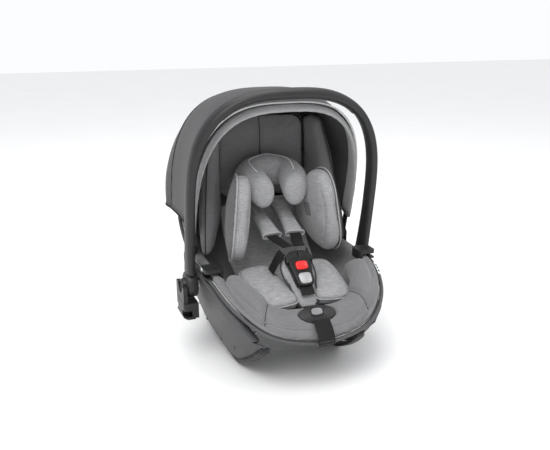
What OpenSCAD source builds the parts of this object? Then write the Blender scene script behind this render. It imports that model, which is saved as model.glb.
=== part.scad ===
// Infant car seat: a rocking carrier shell with a swinging carry handle, a folding canopy,
// a sliding headrest, a three-point harness and a padded newborn insert.
// Frame: origin on the floor under the middle of the carrier, +Z up, -Y the foot end,
// and the carrier is symmetric about X = 0. "Left" is -X. Lengths are in millimetres.

/* [Shell] */
// Half-width of the shell at its rim
shell_half_width = 190; // [187:1:191]
// Distance from the shell's centre to its foot end
foot_reach = 246; // [242:1:248]
// Distance from the shell's centre to its head end
head_reach = 288; // [284:1:290]
// Wall thickness of the shell
shell_wall = 3.5; // [3:0.5:4]
// Height of the floor of the foam liner
foam_floor_z = 86; // [82:1:88]

/* [Handle] */
// Radius of the handle's bow, from its pivot to the middle of the grip
handle_radius = 418; // [416:1:420]
// Forward lean of the handle when it is upright
handle_lean = 9.7; // [9:0.1:10.5]
// Width of the handle's bow, along the carrier
handle_width = 36; // [32:1:38]
// Thickness of the handle's bow
handle_thick = 20; // [18:1:21]

/* [Canopy] */
// Forward lean of the canopy's front bow when it is open
canopy_lean = 17.7; // [17:0.1:18.5]
// Thickness of the canopy's fabric with its lining
canopy_thick = 3; // [2.5:0.5:3.5]

/* [Harness] */
// Width of the harness webbing
webbing_width = 36; // [34:1:38]
// Thickness of the harness webbing
webbing_thick = 2; // [1.8:0.1:2.2]

/* [Hidden] */

shell_centre_y = -40;
shell_floor_z = 46;
shell_belly = 1.8;
foot_slope = 1.15;
head_square = 5.5;
foot_square = 3;
head_foam = 60;
side_foam = 22;
handle_pivot = [209, -25, 178];
handle_straight = 165;
rear_bow_lean = 45;
handle_square = 2.9;
handle_bulge = 2;
handle_set_back = 5;
hub_r = 29;
hub_in = 197;
hub_out = 221;
pin_r = 11;
panel_wall = 3.2;
canopy_pivot = [190, 32, 236];
canopy_hem_z = 290;
canopy_square = 3;
buckle_at = [0, -168, 230];
buckle_tilt = 43.2;
adjuster_at = [0, -242, 160];
adjuster_tilt = 36.6;
running_gap = 0.05;
plastic_black = [0.12, 0.12, 0.13];
plastic_grey = [0.27, 0.27, 0.28];
fabric_dark = [0.3, 0.3, 0.31];
fabric_mid = [0.42, 0.42, 0.43];
fabric_light = [0.62, 0.62, 0.63];

// ---- Curves ----
function sum(v) = [for (x = v) 1] * v;
function mix(a, b, t) = a + (b - a) * t;
function unit(v) = v / norm(v);
function signed_pow(v, p) = sign(v) * pow(abs(v), p);
// A smooth curve through the rows of p, at t from 0 to 1.
function curve(p, t) = let (
    n = len(p) - 1,
    i = max(0, min(floor(t * n), n - 1)),
    f = t * n - i,
    a = p[max(i - 1, 0)], b = p[i], c = p[i + 1], d = p[min(i + 2, n)]
) 0.5 * (2 * b + (c - a) * f + (2 * a - 5 * b + 4 * c - d) * f * f
    + (3 * b - a - 3 * c + d) * f * f * f);
// A smooth value at x, from rows [x, value] in rising order of x.
function slope(tab, i) = let (a = tab[max(i - 1, 0)], b = tab[min(i + 1, len(tab) - 1)])
    (b[1] - a[1]) / (b[0] - a[0]);
function smooth_at(x, tab) = let (
    n = len(tab) - 1,
    i = max(0, min(n - 1, len([for (r = tab) if (r[0] <= x) 1]) - 1)),
    a = tab[i], b = tab[i + 1], h = b[0] - a[0], t = max(0, min(1, (x - a[0]) / h)),
    t2 = t * t, t3 = t * t * t
) a[1] * (2 * t3 - 3 * t2 + 1) + b[1] * (3 * t2 - 2 * t3)
    + h * slope(tab, i) * (t3 - 2 * t2 + t) + h * slope(tab, i + 1) * (t3 - t2);

// ---- Solids from rings and grids ----
function volume6(pts, faces) = sum([for (f = faces) pts[f[0]] * cross(pts[f[1]], pts[f[2]])]);
module closed_solid(pts, faces)
    polyhedron(pts, volume6(pts, faces) < 0 ? faces
        : [for (f = faces) [f[2], f[1], f[0]]]);
function strip(n, a, b, wrap = true) = [
    for (j = [0 : n - (wrap ? 1 : 2)]) let (k = (j + 1) % n)
        each [[a + j, a + k, b + k], [a + j, b + k, b + j]]
];
// A closed solid through rings of equal length, with a fan at each end.
module loft(rings) {
    n = len(rings[0]);
    m = len(rings);
    ends = [sum([for (p = rings[0]) p]) / n, sum([for (p = rings[m - 1]) p]) / n];
    closed_solid(
        concat([for (r = rings) each r], ends),
        concat(
            [for (i = [0 : m - 2]) each strip(n, i * n, (i + 1) * n)],
            [for (j = [0 : n - 1]) [m * n, (j + 1) % n, j]],
            [for (j = [0 : n - 1]) [m * n + 1, (m - 1) * n + j, (m - 1) * n + (j + 1) % n]]
        )
    );
}
// A closed skin between an outer and an inner grid of equal size.
module skin(outer, inner) {
    m = len(outer);
    n = len(outer[0]);
    q = m * n;
    grid = [for (i = [0 : m - 2]) each strip(n, i * n, (i + 1) * n, false)];
    edge = concat(
        [for (j = [0 : n - 1]) j],
        [for (i = [1 : m - 1]) i * n + n - 1],
        [for (j = [n - 2 : -1 : 0]) (m - 1) * n + j],
        [for (i = [m - 2 : -1 : 1]) i * n]
    );
    e = len(edge);
    closed_solid(
        concat([for (r = outer) each r], [for (r = inner) each r]),
        concat(
            grid,
            [for (f = grid) [q + f[2], q + f[1], q + f[0]]],
            [for (j = [0 : e - 1]) let (a = edge[j], b = edge[(j + 1) % e])
                each [[b, a, q + a], [b, q + a, q + b]]]
        )
    );
}
// A crowned cushion of the given full size, with square-ish or round sides.
module pillow(size, square = 0.6, crown = 0.7, rings = 9, points = 24)
    loft([for (i = [0 : rings - 1]) let (
            v = -84 + 168 * i / (rings - 1),
            r = pow(cos(v), crown),
            z = size[2] / 2 * signed_pow(sin(v), crown)
        ) [for (j = [0 : points - 1]) let (a = 360 * j / points)
            [size[0] / 2 * r * signed_pow(cos(a), square),
             size[1] / 2 * r * signed_pow(sin(a), square), z]]]);
// A flat strap along a curve through route, whose width lies along side.
module strap(route, width, thick, side = [1, 0, 0], steps = 14)
    loft([for (i = [0 : steps]) let (
            t = i / steps,
            p = curve(route, t),
            along = unit(curve(route, min(1, t + 0.02)) - curve(route, max(0, t - 0.02))),
            up = unit(cross(side, along)),
            across = unit(cross(along, up))
        ) [for (c = [[-1, -1], [1, -1], [1, 1], [-1, 1]])
            p + across * c[0] * width / 2 + up * c[1] * thick / 2]]);
module on_left() mirror([1, 0, 0]) children();
module rod(length, r) rotate([0, 90, 0]) cylinder(length, r, r, center = true, $fn = 48);
module disc_x(x0, x1, r) translate([x0, 0, 0]) rotate([0, 90, 0]) cylinder(x1 - x0, r, r, $fn = 64);
module rounded_block(size, r) {
    hull() for (x = [-1, 1], y = [-1, 1])
        translate([x * (size[0] / 2 - r), y * (size[1] / 2 - r), 0])
            cylinder(size[2], r, r, center = true, $fn = 24);
}

// ---- Shell and foam ----
// Rim height by the angle from the head end: 0 at the head, 180 at the foot.
rim_heights = [[0, 430], [14, 422], [24, 386], [32, 334], [40, 286], [48, 256], [58, 230], [68, 217],
    [82, 214], [100, 214], [118, 207], [136, 178], [156, 134], [180, 112]];
function plan_r(phi, inset_side, inset_end) = let (
    n = sin(phi) > 0 ? head_square : foot_square,
    a = shell_half_width - inset_side,
    b = (sin(phi) > 0 ? head_reach : foot_reach) - inset_end
) pow(pow(abs(cos(phi)) / a, n) + pow(abs(sin(phi)) / b, n), -1 / n);
function head_angle(phi) = acos(sin(phi));
function bowl_ring(s, inset_side, inset_end, floor_z, points = 56) = [
    for (j = [0 : points - 1]) let (
        phi = 360 * j / points,
        rim = smooth_at(head_angle(phi), rim_heights),
        part = pow(sin(90 * s), shell_belly),
        r = plan_r(phi, inset_side, inset_end) * part,
        rise = mix(1 - cos(90 * s), pow(part, foot_slope), pow(max(0, -sin(phi)), 2))
    ) [r * cos(phi), shell_centre_y + r * sin(phi), mix(floor_z, rim, rise)]
];
bowl_steps = [0.12, 0.25, 0.38, 0.5, 0.62, 0.74, 0.87, 1];
module bowl(out_side, out_end, out_floor, in_side, in_end, in_floor)
    loft(concat(
        [for (s = bowl_steps) bowl_ring(s, out_side, out_end, out_floor)],
        [for (i = [len(bowl_steps) - 1 : -1 : 0])
            bowl_ring(bowl_steps[i], in_side, in_end, in_floor)]
    ));
module seat_shell() color(plastic_grey)
    bowl(0, 0, shell_floor_z, shell_wall, shell_wall, shell_floor_z + shell_wall);
module foam_liner() color("whitesmoke")
    bowl(shell_wall + 1, shell_wall + 1, shell_floor_z + shell_wall + 3,
        side_foam + 4, head_foam + 4, foam_floor_z);

// ---- Side panels and rocker rails ----
// Underside of the rocker: rows [y, z].
rocker_line = [[-250, 104], [-220, 76], [-180, 46], [-140, 22], [-100, 5], [-64, 0], [64, 0],
    [100, 4], [150, 14], [200, 24], [232, 30]];
function rocker_z(y) = (abs(y) <= 64) ? 0 : smooth_at(y, rocker_line);
panel_y = [-236, -220, -200, -175, -150, -125, -100, -75, -40, 0, 40, 80, 115, 145, 168];
function panel_top(y) = let (
    over = max(0, (y - 40) / 130),
    under = max(0, (-y - 100) / 136)
) [195 - 18 * over * over - 42 * pow(under, 2.2), 205 - 62 * pow(under, 1.6)];
function panel_foot(y) = [128 - 10 * pow(max(0, (abs(y) - 100) / 136), 2), rocker_z(y) + 12];
function panel_at(y, t, depth) = let (
    top = panel_top(y), foot = panel_foot(y),
    x = mix(foot[0], top[0], pow(t, 0.65)) - depth,
    z = mix(foot[1], top[1], t)
) [x, y, z];
module side_panel() color(plastic_grey) difference() {
    skin([for (y = panel_y) [for (i = [0 : 9]) panel_at(y, i / 9, 0)]],
         [for (y = panel_y) [for (i = [0 : 9]) panel_at(y, i / 9, panel_wall)]]);
    translate([0, handle_pivot[1], handle_pivot[2]]) disc_x(170, 204, pin_r + running_gap);
}
rail_y = [-236, -210, -180, -150, -125, -100, -82, -64, 0, 64, 90, 125, 160, 195, 225];
module rocker_rail() color(plastic_black)
    loft([for (y = rail_y) let (z = rocker_z(y), x = panel_foot(y)[0] - 1)
        [[x - 20, y, z], [x, y, z], [x, y, z + 11.5], [x - 20, y, z + 11.5]]]);

base_bar_z = 36;
module base_bar(y) color("silver") translate([0, y, base_bar_z]) {
    foot = panel_foot(y)[1];
    at_bar = (base_bar_z - foot) / (panel_top(y)[1] - foot);
    rod(2 * (panel_at(y, at_bar, panel_wall)[0] + 1), 5);
}
module base_bar_front() base_bar(-30);
module base_bar_rear() base_bar(150);

// ---- Belt guide, stroller clip, pivots ----
module belt_guide() color(plastic_black) translate([178, -96, 226]) difference() {
    rounded_block([40, 42, 20], 7);
    translate([8, -10, -3]) cube([40, 30, 9], center = true);
}
module stroller_clip() color(plastic_grey) difference() {
    union() {
        translate([213, handle_pivot[1] + 2, 127]) rounded_block([40, 74, 34], 8);
        translate([228, handle_pivot[1] + 2, 160]) cube([9, 66, 40], center = true);
        translate([214, handle_pivot[1] - 8, 107]) rounded_block([22, 26, 12], 6);
    }
    translate([0, handle_pivot[1], handle_pivot[2]]) disc_x(190, 240, 17);
    translate([227, handle_pivot[1] - 26, 120]) cube([24, 20, 14], center = true);
    translate([227, handle_pivot[1] + 30, 120]) cube([24, 14, 14], center = true);
    translate([196, handle_pivot[1] + 2, 122]) cube([9, 90, 50], center = true);
}
module handle_pivot_pin() color("silver") translate([0, handle_pivot[1], handle_pivot[2]]) {
    disc_x(200.6, 211, pin_r);
    disc_x(191, 200.6, pin_r);
}
module canopy_mount() color(plastic_black) translate([0, canopy_pivot[1], canopy_pivot[2]])
    union() {
        disc_x(176, 191, 5);
        disc_x(190.6, 194, 11);
        translate([192.3, 0, -15]) cube([3.4, 20, 30], center = true);
    }
screw_places = [-150, -60, 60, 140];
module shell_screws() color("dimgray") for (side = [-1, 1], y = screw_places)
    translate([side * (panel_at(y, 0.2, 0)[0] + 0.2), y, panel_at(y, 0.2, 0)[2]])
        rotate([0, side * 90, 0]) cylinder(1.6, 4, 3.4, $fn = 24);
module rim_label() color("white") translate([190, -150, 209]) rotate([0, 50, 0])
    cube([10, 34, 1], center = true);

// ---- Soft cover ----
module lower_cover() color(fabric_mid) difference() {
    loft([for (i = [0 : 30]) let (
            phi = -152 + 124 * i / 30,
            tab = head_angle(phi),
            rim = smooth_at(tab, rim_heights),
            r = plan_r(phi, 0, 0),
            front = pow(max(0, -sin(phi)), 3),
            out = [r - 8 + 8 * front, rim + 3],
            foam_r = plan_r(phi, side_foam + 4, head_foam + 4),
            top = [r - 20 + 2 * front, rim + 16 + 6 * front],
            crown = [r - 36 - 8 * front, rim + 18 + 26 * front],
            inner = [r - 68 - 6 * front, rim - 2 + 52 * front],
            low = [r - 70 - 2 * front, rim - 22 + 40 * front],
            lip = [foam_r - 2, rim + 2],
            under = [r - 14, rim + 2]
        ) [for (q = [out, top, crown, inner, low, lip, under])
            [q[0] * cos(phi), shell_centre_y + q[0] * sin(phi), q[1]]]]);
    at_adjuster() {
        scale([2.05, 1, 1]) cylinder(14, 20.6, 20.6, center = true, $fn = 64);
        translate([0, 0, -14]) cube([38, 30, 16], center = true);
    }
}
// Rows [x, y, z, half-length, half-thickness, turn], from the rim to the canopy.
side_wing_rows = [[158, 12, 234, 28, 11, 25], [141, 44, 300, 52, 17, 27], [136, 58, 370, 46, 18, 25],
    [131, 68, 440, 38, 17, 22], [121, 76, 515, 24, 12, 18]];
module side_wing() color(fabric_mid)
    loft([for (i = [0 : 12]) let (c = curve(side_wing_rows, i / 12))
        [for (j = [0 : 15]) let (
                a = 22.5 * j,
                u = c[4] * signed_pow(cos(a), 0.7),
                v = c[3] * signed_pow(sin(a), 0.7)
            ) [c[0] + u * cos(c[5]) - v * sin(c[5]), c[1] + u * sin(c[5]) + v * cos(c[5]), c[2]]]]);
back_line = [[-192, 140], [-150, 138], [-90, 144], [-30, 170], [30, 216], [66, 262], [84, 318]];
module back_pad() color(fabric_mid)
    loft([for (i = [0 : 14]) let (
            t = i / 14,
            p = curve(back_line, t),
            q = curve(back_line, min(1, t + 0.03)) - curve(back_line, max(0, t - 0.03)),
            n = unit([-q[1], q[0]]),
            w = mix(62, 100, min(1, 1.6 * t))
        ) [for (c = [[-w, -14], [w, -14], [w, -4], [w - 14, 0], [14 - w, 0], [-w, -4]])
            [c[0], p[0] + n[0] * c[1], p[1] + n[1] * c[1]]]]);
module thigh_cushion() color(fabric_light)
    translate([68, -122, 181]) rotate([11, 2, -4]) pillow([86, 168, 46], 0.7);
module insert_wing() color(fabric_light)
    translate([95, -12, 316]) rotate([0, 0, 11]) rotate([-8, -6, 0])
    difference() {
        pillow([48, 148, 188], 0.7, 0.8);
        translate([0, 62, 62]) rotate([45, 0, 0]) cube([80, 200, 80], center = true);
    }

// ---- Headrest ----
module headrest_shell() color(plastic_black) translate([0, 128, 425])
    rotate([90, 0, 0]) rounded_block([196, 176, 6], 30);
module headrest_pad() color(fabric_mid) translate([0, 109, 425])
    rotate([90, 0, 0]) pillow([200, 200, 22], 0.5, 0.5);
// A horseshoe round the baby's head: rows [x, y, z, half-width, half-height], left half.
head_route = [[-32, -36, 364, 12, 16], [-34, -24, 368, 23, 34], [-40, 16, 390, 26, 28],
    [-40, 52, 398, 29, 32], [0, 68, 403, 24, 36]];
module head_cushion() color(fabric_light)
    loft([for (i = [0 : 24]) let (
            c = curve(head_route, 1 - abs(i - 12) / 12),
            turned = 180 * smooth_at(i, [[0, 0], [6, 0], [12, 0.5], [18, 1], [24, 1]]),
            side = i < 12 ? 1 : -1
        ) [for (j = [0 : 11]) let (b = 30 * j)
            [side * c[0] - c[3] * cos(b) * cos(turned), c[1] + c[3] * cos(b) * sin(turned),
             c[2] + c[4] * sin(b)]]]);
module headrest_guide_rods() color("silver") for (x = [-60, 60])
    translate([x, 140, 305]) cylinder(175, 4, 4, $fn = 32);

// ---- Harness ----
module at_buckle() translate(buckle_at) rotate([buckle_tilt, 0, 0]) children();
module at_adjuster() translate(adjuster_at) rotate([adjuster_tilt, 0, 0]) children();
module buckle_pad() color(fabric_light) at_buckle() translate([0, 4, -29])
    pillow([80, 92, 12], 0.95, 0.5);
module buckle_housing() color(plastic_black) at_buckle() difference() {
    translate([0, 0, -11]) hull() {
        translate([0, 20, 0]) rounded_block([46, 26, 20], 8);
        translate([0, -20, 0]) rounded_block([36, 24, 20], 10);
    }
    translate([0, 12, -2]) rounded_block([27, 20, 8], 5);
    translate([0, 26, -12]) cube([38, 20, 6], center = true);
    translate([0, -18, 0]) rounded_block([29, 26, 4], 8);
}
module buckle_plate() color("silver") at_buckle() translate([0, -18, -0.5])
    rounded_block([28.4, 25.4, 2.6], 8);
module buckle_button() color("red") at_buckle() translate([0, 12, 0.6])
    rounded_block([26, 19, 3.2], 5);
module tongue() color(plastic_black) at_buckle() translate([0, 0, -12]) {
    translate([9.5, 27, 0]) cube([17, 17, 4], center = true);
    translate([12, 42, 0]) rounded_block([22, 12, 8], 4);
}
module crotch_strap() color(plastic_black) at_buckle() translate([0, -42, -12])
    cube([30, 17, 2], center = true);
module shoulder_strap() color(plastic_black)
    strap([[13, -112, 266], [18, -88, 268], [27.4, -55, 275.4], [31, 14, 299], [34.6, 83, 322.6],
        [36, 100, 332]], webbing_width - 10, webbing_thick);
module shoulder_pad() color(fabric_light)
    translate([31, 14, 299]) rotate([19, 0, 0]) rotate([0, 0, -3]) difference() {
        pillow([46, 146, 16], 0.4, 0.5);
        cube([34, 200, 6], center = true);
    }
module hip_strap() color(plastic_black)
    strap([[28, -116, 256], [40, -112, 236], [50, -106, 212]], 22, webbing_thick, [0, 0.7, 0.7], 6);
module harness_yoke() color("silver") translate([0, 122, 288]) rotate([80, 0, 0])
    rounded_block([48, 30, 3], 6);
module harness_lock() color("silver") at_adjuster() translate([0, 0, -16])
    rounded_block([34, 26, 8], 3);
module adjuster_plate() color(plastic_black) at_adjuster() difference() {
    scale([2.05, 1, 1]) cylinder(5, 20, 20, center = true, $fn = 64);
    translate([0, 4, 0]) rounded_block([25, 17, 12], 7);
}
module adjuster_button() color("darkgray") at_adjuster() translate([0, 4, 2.4])
    rounded_block([24, 16, 4], 7);
module pull_strap() color(plastic_black)
    strap([[0, -262, 156], [0, -276, 146], [0, -290, 130], [0, -294, 112]], webbing_width,
        webbing_thick);

// ---- Handle ----
// Half of the bow's middle line, in its own plane: [across, up] at t from 0 to 1.
function handle_line(t) = t < 0.3
    ? [handle_pivot[0] + handle_bulge * sin(300 * t), handle_straight * t / 0.3]
    : let (a = 90 * (t - 0.3) / 0.7, b = handle_radius - handle_straight)
        [(handle_pivot[0] + handle_bulge) * pow(cos(a), 2 / handle_square),
         handle_straight + b * pow(sin(a), 2 / handle_square)];
module in_handle_plane() translate([0, handle_pivot[1], handle_pivot[2]])
    rotate([handle_lean, 0, 0]) children();
// How far the bow is widened and set back towards its hub.
function handle_flare(t) = pow(max(0, 1 - t / 0.26), 1.5);
function handle_ring(t, side, w, h, off) = let (
    flare = handle_flare(t),
    p = handle_line(t),
    q = handle_line(min(1, t + 0.01)) - handle_line(max(0, t - 0.01)),
    tang = unit(t > 0.995 ? [-1, 0] : q),
    n = [tang[1], -tang[0]]
) [for (j = [0 : 11]) let (a = 30 * j + 15, u = off + h / 2 * signed_pow(cos(a), 0.7),
        v = handle_set_back * flare + (1 + 0.4 * flare) * w / 2 * signed_pow(sin(a), 0.7))
    [side * (p[0] + n[0] * u), v, p[1] + n[1] * u]];
handle_steps = concat([for (i = [0 : 3]) 0.05 + i * 0.083], [for (i = [0 : 17]) 0.31 + i * 0.0395]);
module bow(w, h, off, first = 0)
    loft(concat(
        [for (i = [first : len(handle_steps) - 1]) handle_ring(handle_steps[i], -1, w, h, off)],
        [handle_ring(1, 1, w, h, off)],
        [for (i = [len(handle_steps) - 1 : -1 : first]) handle_ring(handle_steps[i], 1, w, h, off)]
    ));
module handle_hub() difference() {
    disc_x(hub_in, hub_out, hub_r);
    disc_x(hub_in - 1, 200, pin_r + running_gap);
    disc_x(199.5, 212.5, 18.5);
    disc_x(212, hub_out + 1, 14.3);
}
module handle_frame() color(plastic_black) in_handle_plane() {
    bow(handle_width, handle_thick, 0);
    handle_hub();
    on_left() handle_hub();
}
module handle_grip() color("gray") in_handle_plane() bow(16, 3, -handle_thick / 2 - 2, 14);
module handle_button() color(plastic_black)
    translate([0, handle_pivot[1], handle_pivot[2]]) {
        disc_x(216, 229, 14);
        difference() {
            disc_x(205.8, 216, 14);
            disc_x(205, 216.5, pin_r + 0.3);
        }
        difference() {
            disc_x(205.8, 212, 18);
            disc_x(205, 213, pin_r + 0.3);
        }
    }
module button_spring() color("silver")
    translate([0, handle_pivot[1], handle_pivot[2]]) for (i = [0 : 2])
        translate([200.6 + 2 * i, 0, 0]) rotate([0, 90, 0])
            rotate_extrude($fn = 48) translate([15, 0]) circle(0.8, $fn = 16);

// ---- Canopy ----
// Crest and hem of each cross-arc: rows [crest y, crest z, hem half-width, hem y, hem z, square].
canopy_arcs = [[-74, 567, 195, 15, 290, 3.1], [-10, 587, 195, 60, 292, 3.1], [64, 592, 195, 120, 294, 3],
    [140, 574, 199, 182, 297, 3], [214, 528, 205, 214, 300, 2.8], [268, 458, 192, 238, 304, 2.6],
    [292, 384, 160, 262, 310, 2.4], [295, 330, 110, 283, 318, 2.2]];
function canopy_point(t, u, depth) = let (
    c = curve(canopy_arcs, t),
    mid = [60, 300],
    crest = [c[0], c[1]] - depth * unit([c[0], c[1]] - mid),
    hem = [c[3], c[4]],
    a = 180 * u,
    x = (c[2] - depth) * signed_pow(cos(a), 2 / c[5]),
    f = pow(sin(a), 2 / c[5])
) [-x, mix(hem[0], crest[0], f), mix(hem[1], crest[1], f)];
module canopy_part(t0, t1, steps) {
    rows = [for (i = [0 : steps]) mix(t0, t1, i / steps)];
    skin([for (t = rows) [for (j = [0 : 28]) canopy_point(t, j / 28, 0)]],
         [for (t = rows) [for (j = [0 : 28]) canopy_point(t, j / 28, canopy_thick)]]);
}
module canopy_front_panel() color(fabric_dark) canopy_part(0.0, 0.4286, 9);
module canopy_rear_panel() color(fabric_dark) canopy_part(0.4306, 1, 12);
module canopy_bow(lean, reach, half_width, width, thick)
    translate([0, canopy_pivot[1], canopy_pivot[2]]) rotate([lean, 0, 0]) {
        loft([for (i = [0 : 36]) let (
                a = 180 * i / 36,
                c = signed_pow(cos(a), 2 / canopy_square),
                s = pow(sin(a), 2 / canopy_square),
                up = canopy_hem_z - canopy_pivot[2]
            ) [for (q = [[-1, -1], [1, -1], [1, 1], [-1, 1]])
                [c * (half_width + q[0] * thick / 2), q[1] * width / 2,
                 up + s * (reach - up + q[0] * thick / 2)]]]);
        for (side = [-1, 1]) difference() {
            hull() {
                translate([side * half_width, 0, 0]) rod(thick, 10);
                translate([side * half_width, 0, canopy_hem_z - canopy_pivot[2] - 1])
                    cube([thick, width, 2], center = true);
            }
            translate([side * half_width, 0, 0]) rod(thick + 4, 5 + running_gap);
        }
    }
module canopy_front_bow() color(fabric_light) canopy_bow(canopy_lean, 342, 187, 18, 3);
module canopy_rear_bow() color(plastic_black) canopy_bow(-rear_bow_lean, 316, 182, 9, 3);

seat_shell();
foam_liner();
on_left() side_panel();  // side_panel_left
side_panel();  // side_panel_right
on_left() rocker_rail();  // rocker_rail_left
rocker_rail();  // rocker_rail_right
on_left() belt_guide();  // belt_guide_left
belt_guide();  // belt_guide_right
on_left() stroller_clip();  // stroller_clip_left
stroller_clip();  // stroller_clip_right
on_left() handle_pivot_pin();  // handle_pivot_left
handle_pivot_pin();  // handle_pivot_right
on_left() canopy_mount();  // canopy_mount_left
canopy_mount();  // canopy_mount_right
base_bar_front();
base_bar_rear();
shell_screws();
rim_label();
headrest_guide_rods();
lower_cover();
on_left() side_wing();  // side_wing_left
side_wing();  // side_wing_right
back_pad();
on_left() thigh_cushion();  // thigh_cushion_left
thigh_cushion();  // thigh_cushion_right
on_left() insert_wing();  // insert_wing_left
insert_wing();  // insert_wing_right
adjuster_plate();
harness_lock();
pull_strap();
buckle_pad();
crotch_strap();
buckle_housing();
buckle_plate();
on_left() shoulder_strap();  // shoulder_strap_left
shoulder_strap();  // shoulder_strap_right
on_left() shoulder_pad();  // shoulder_pad_left
shoulder_pad();  // shoulder_pad_right
on_left() hip_strap();  // hip_strap_left
hip_strap();  // hip_strap_right
harness_yoke();
headrest_shell();
headrest_pad();
head_cushion();
handle_frame();
handle_grip();
on_left() handle_button();  // handle_button_left
handle_button();  // handle_button_right
on_left() button_spring();  // button_spring_left
button_spring();  // button_spring_right
canopy_front_bow();
canopy_rear_bow();
canopy_front_panel();
canopy_rear_panel();
on_left() tongue();  // tongue_left
tongue();  // tongue_right
buckle_button();
adjuster_button();
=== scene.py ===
"""Infant car seat: the visual model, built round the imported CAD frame.

Shapes are worked out in millimetres in the row frame (+Z up, -Y the foot end, left is -X) and are
turned into metres as each mesh is made. Curves and driving sizes follow the CAD model.
"""
import math

import bpy
import numpy as np
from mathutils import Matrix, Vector
from mathutils.kdtree import KDTree


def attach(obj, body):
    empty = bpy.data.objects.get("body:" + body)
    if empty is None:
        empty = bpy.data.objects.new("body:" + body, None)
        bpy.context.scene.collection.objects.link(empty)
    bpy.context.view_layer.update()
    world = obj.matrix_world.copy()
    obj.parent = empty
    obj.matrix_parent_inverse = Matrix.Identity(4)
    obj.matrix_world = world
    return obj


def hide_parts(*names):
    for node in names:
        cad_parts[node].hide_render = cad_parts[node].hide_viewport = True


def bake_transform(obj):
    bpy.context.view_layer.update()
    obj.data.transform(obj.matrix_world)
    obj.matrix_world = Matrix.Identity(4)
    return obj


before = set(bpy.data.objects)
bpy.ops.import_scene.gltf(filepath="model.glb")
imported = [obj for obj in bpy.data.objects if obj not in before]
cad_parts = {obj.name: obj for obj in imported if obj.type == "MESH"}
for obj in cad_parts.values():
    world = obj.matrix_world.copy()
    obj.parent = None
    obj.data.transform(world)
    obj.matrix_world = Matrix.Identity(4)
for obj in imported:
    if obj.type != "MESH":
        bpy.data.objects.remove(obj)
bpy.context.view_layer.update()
scene = bpy.context.scene

MM = 0.001
SHELL_HALF_WIDTH, FOOT_REACH, HEAD_REACH = 190, 246, 288
SHELL_CENTRE_Y, SHELL_FLOOR_Z, FOAM_FLOOR_Z = -40, 46, 86
SHELL_WALL, SHELL_BELLY, FOOT_SLOPE = 3.5, 1.8, 1.15
HEAD_SQUARE, FOOT_SQUARE = 5.5, 3
SIDE_FOAM, HEAD_FOAM = 26, 64
RIM_HEIGHTS = [
    (0, 430), (14, 422), (24, 386), (32, 334), (40, 286), (48, 256), (58, 230), (68, 217),
    (82, 214), (100, 214), (118, 207), (136, 178), (156, 134), (180, 112),
]
HANDLE_PIVOT = np.array([209, -25, 178])
HANDLE_SET_BACK = 5
HANDLE_RADIUS, HANDLE_LEAN, HANDLE_WIDTH, HANDLE_THICK = 418, 9.7, 36, 20
HANDLE_STRAIGHT, HANDLE_SQUARE, HANDLE_BULGE = 165, 2.9, 2
CANOPY_PIVOT = np.array([190, 32, 236])
CANOPY_HEM_Z, CANOPY_SQUARE, CANOPY_LEAN = 290, 3, 17.7
CANOPY_SPLIT = 0.43
BUCKLE_AT, BUCKLE_TILT = (0, -168, 230), 43.2
ADJUSTER_AT, ADJUSTER_TILT = (0, -242, 160), 36.6
WEBBING_WIDTH, WEBBING_THICK = 36, 2
STITCH_LENGTH, STITCH_GAP, STITCH_RADIUS, STITCH_STEP = 3.2, 1.8, 0.42, 0.5
CORD_STEP, TURNED_SIDES, PAD_POINTS, PAD_RINGS = 3, 72, 72, 12
CANOPY_COLUMNS, COVER_POINTS, SLAB_RINGS = 150, 120, 6
CUSHION_PRESSURE = 4
COVER_HALF_ARC = 62
TAG_HEADING, TAG_FOLD = -0.55, 0.35
FLOOR_REACH = 9000


# ---- Curves ----
def mix(a, b, t):
    return a + (b - a) * t


def signed_pow(v, p):
    return np.sign(v) * np.abs(v) ** p


def spline(a, b, c, d, f):
    """The Catmull-Rom curve from b to c at the share f, with a before and d after."""
    return 0.5 * (2 * b + (c - a) * f + (2 * a - 5 * b + 4 * c - d) * f**2
                  + (3 * b - a - 3 * c + d) * f**3)


def curve(points, t):
    """A smooth curve through points, at t (a number or an array) from 0 to 1."""
    p = np.asarray(points, float)
    n = len(p) - 1
    at = np.atleast_1d(np.asarray(t, float)) * n
    i = np.clip(np.floor(at).astype(int), 0, n - 1)
    f = (at - i)[:, None]
    out = spline(p[np.maximum(i - 1, 0)], p[i], p[i + 1], p[np.minimum(i + 2, n)], f)
    return out[0] if np.ndim(t) == 0 else out


def ring_curve(points, count):
    """A smooth closed curve through points, sampled at count places."""
    p = np.asarray(points, float)
    n = len(p)
    at = np.arange(count) * n / count
    i = np.floor(at).astype(int)
    f = (at - i)[:, None]
    return spline(p[(i - 1) % n], p[i % n], p[(i + 1) % n], p[(i + 2) % n], f)


def circle(count):
    """Angles at equal steps round a full turn."""
    return np.arange(count) * 2 * math.pi / count


def closed(ring):
    """A ring with its first point again at the end."""
    return np.concatenate([ring, ring[:1]])


def smooth_at(x, table):
    """The smooth value at x of rows (x, value)."""
    xs, ys = np.array(table, float).T
    slopes = np.empty(len(xs))
    slopes[1:-1] = (ys[2:] - ys[:-2]) / (xs[2:] - xs[:-2])
    slopes[0] = (ys[1] - ys[0]) / (xs[1] - xs[0])
    slopes[-1] = (ys[-1] - ys[-2]) / (xs[-1] - xs[-2])
    i = int(np.clip(np.searchsorted(xs, x, side="right") - 1, 0, len(xs) - 2))
    h = xs[i + 1] - xs[i]
    t = min(1, max(0, (x - xs[i]) / h))
    return (ys[i] * (2 * t**3 - 3 * t**2 + 1) + ys[i + 1] * (3 * t**2 - 2 * t**3)
            + h * slopes[i] * (t**3 - 2 * t**2 + t) + h * slopes[i + 1] * (t**3 - t**2))


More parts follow.
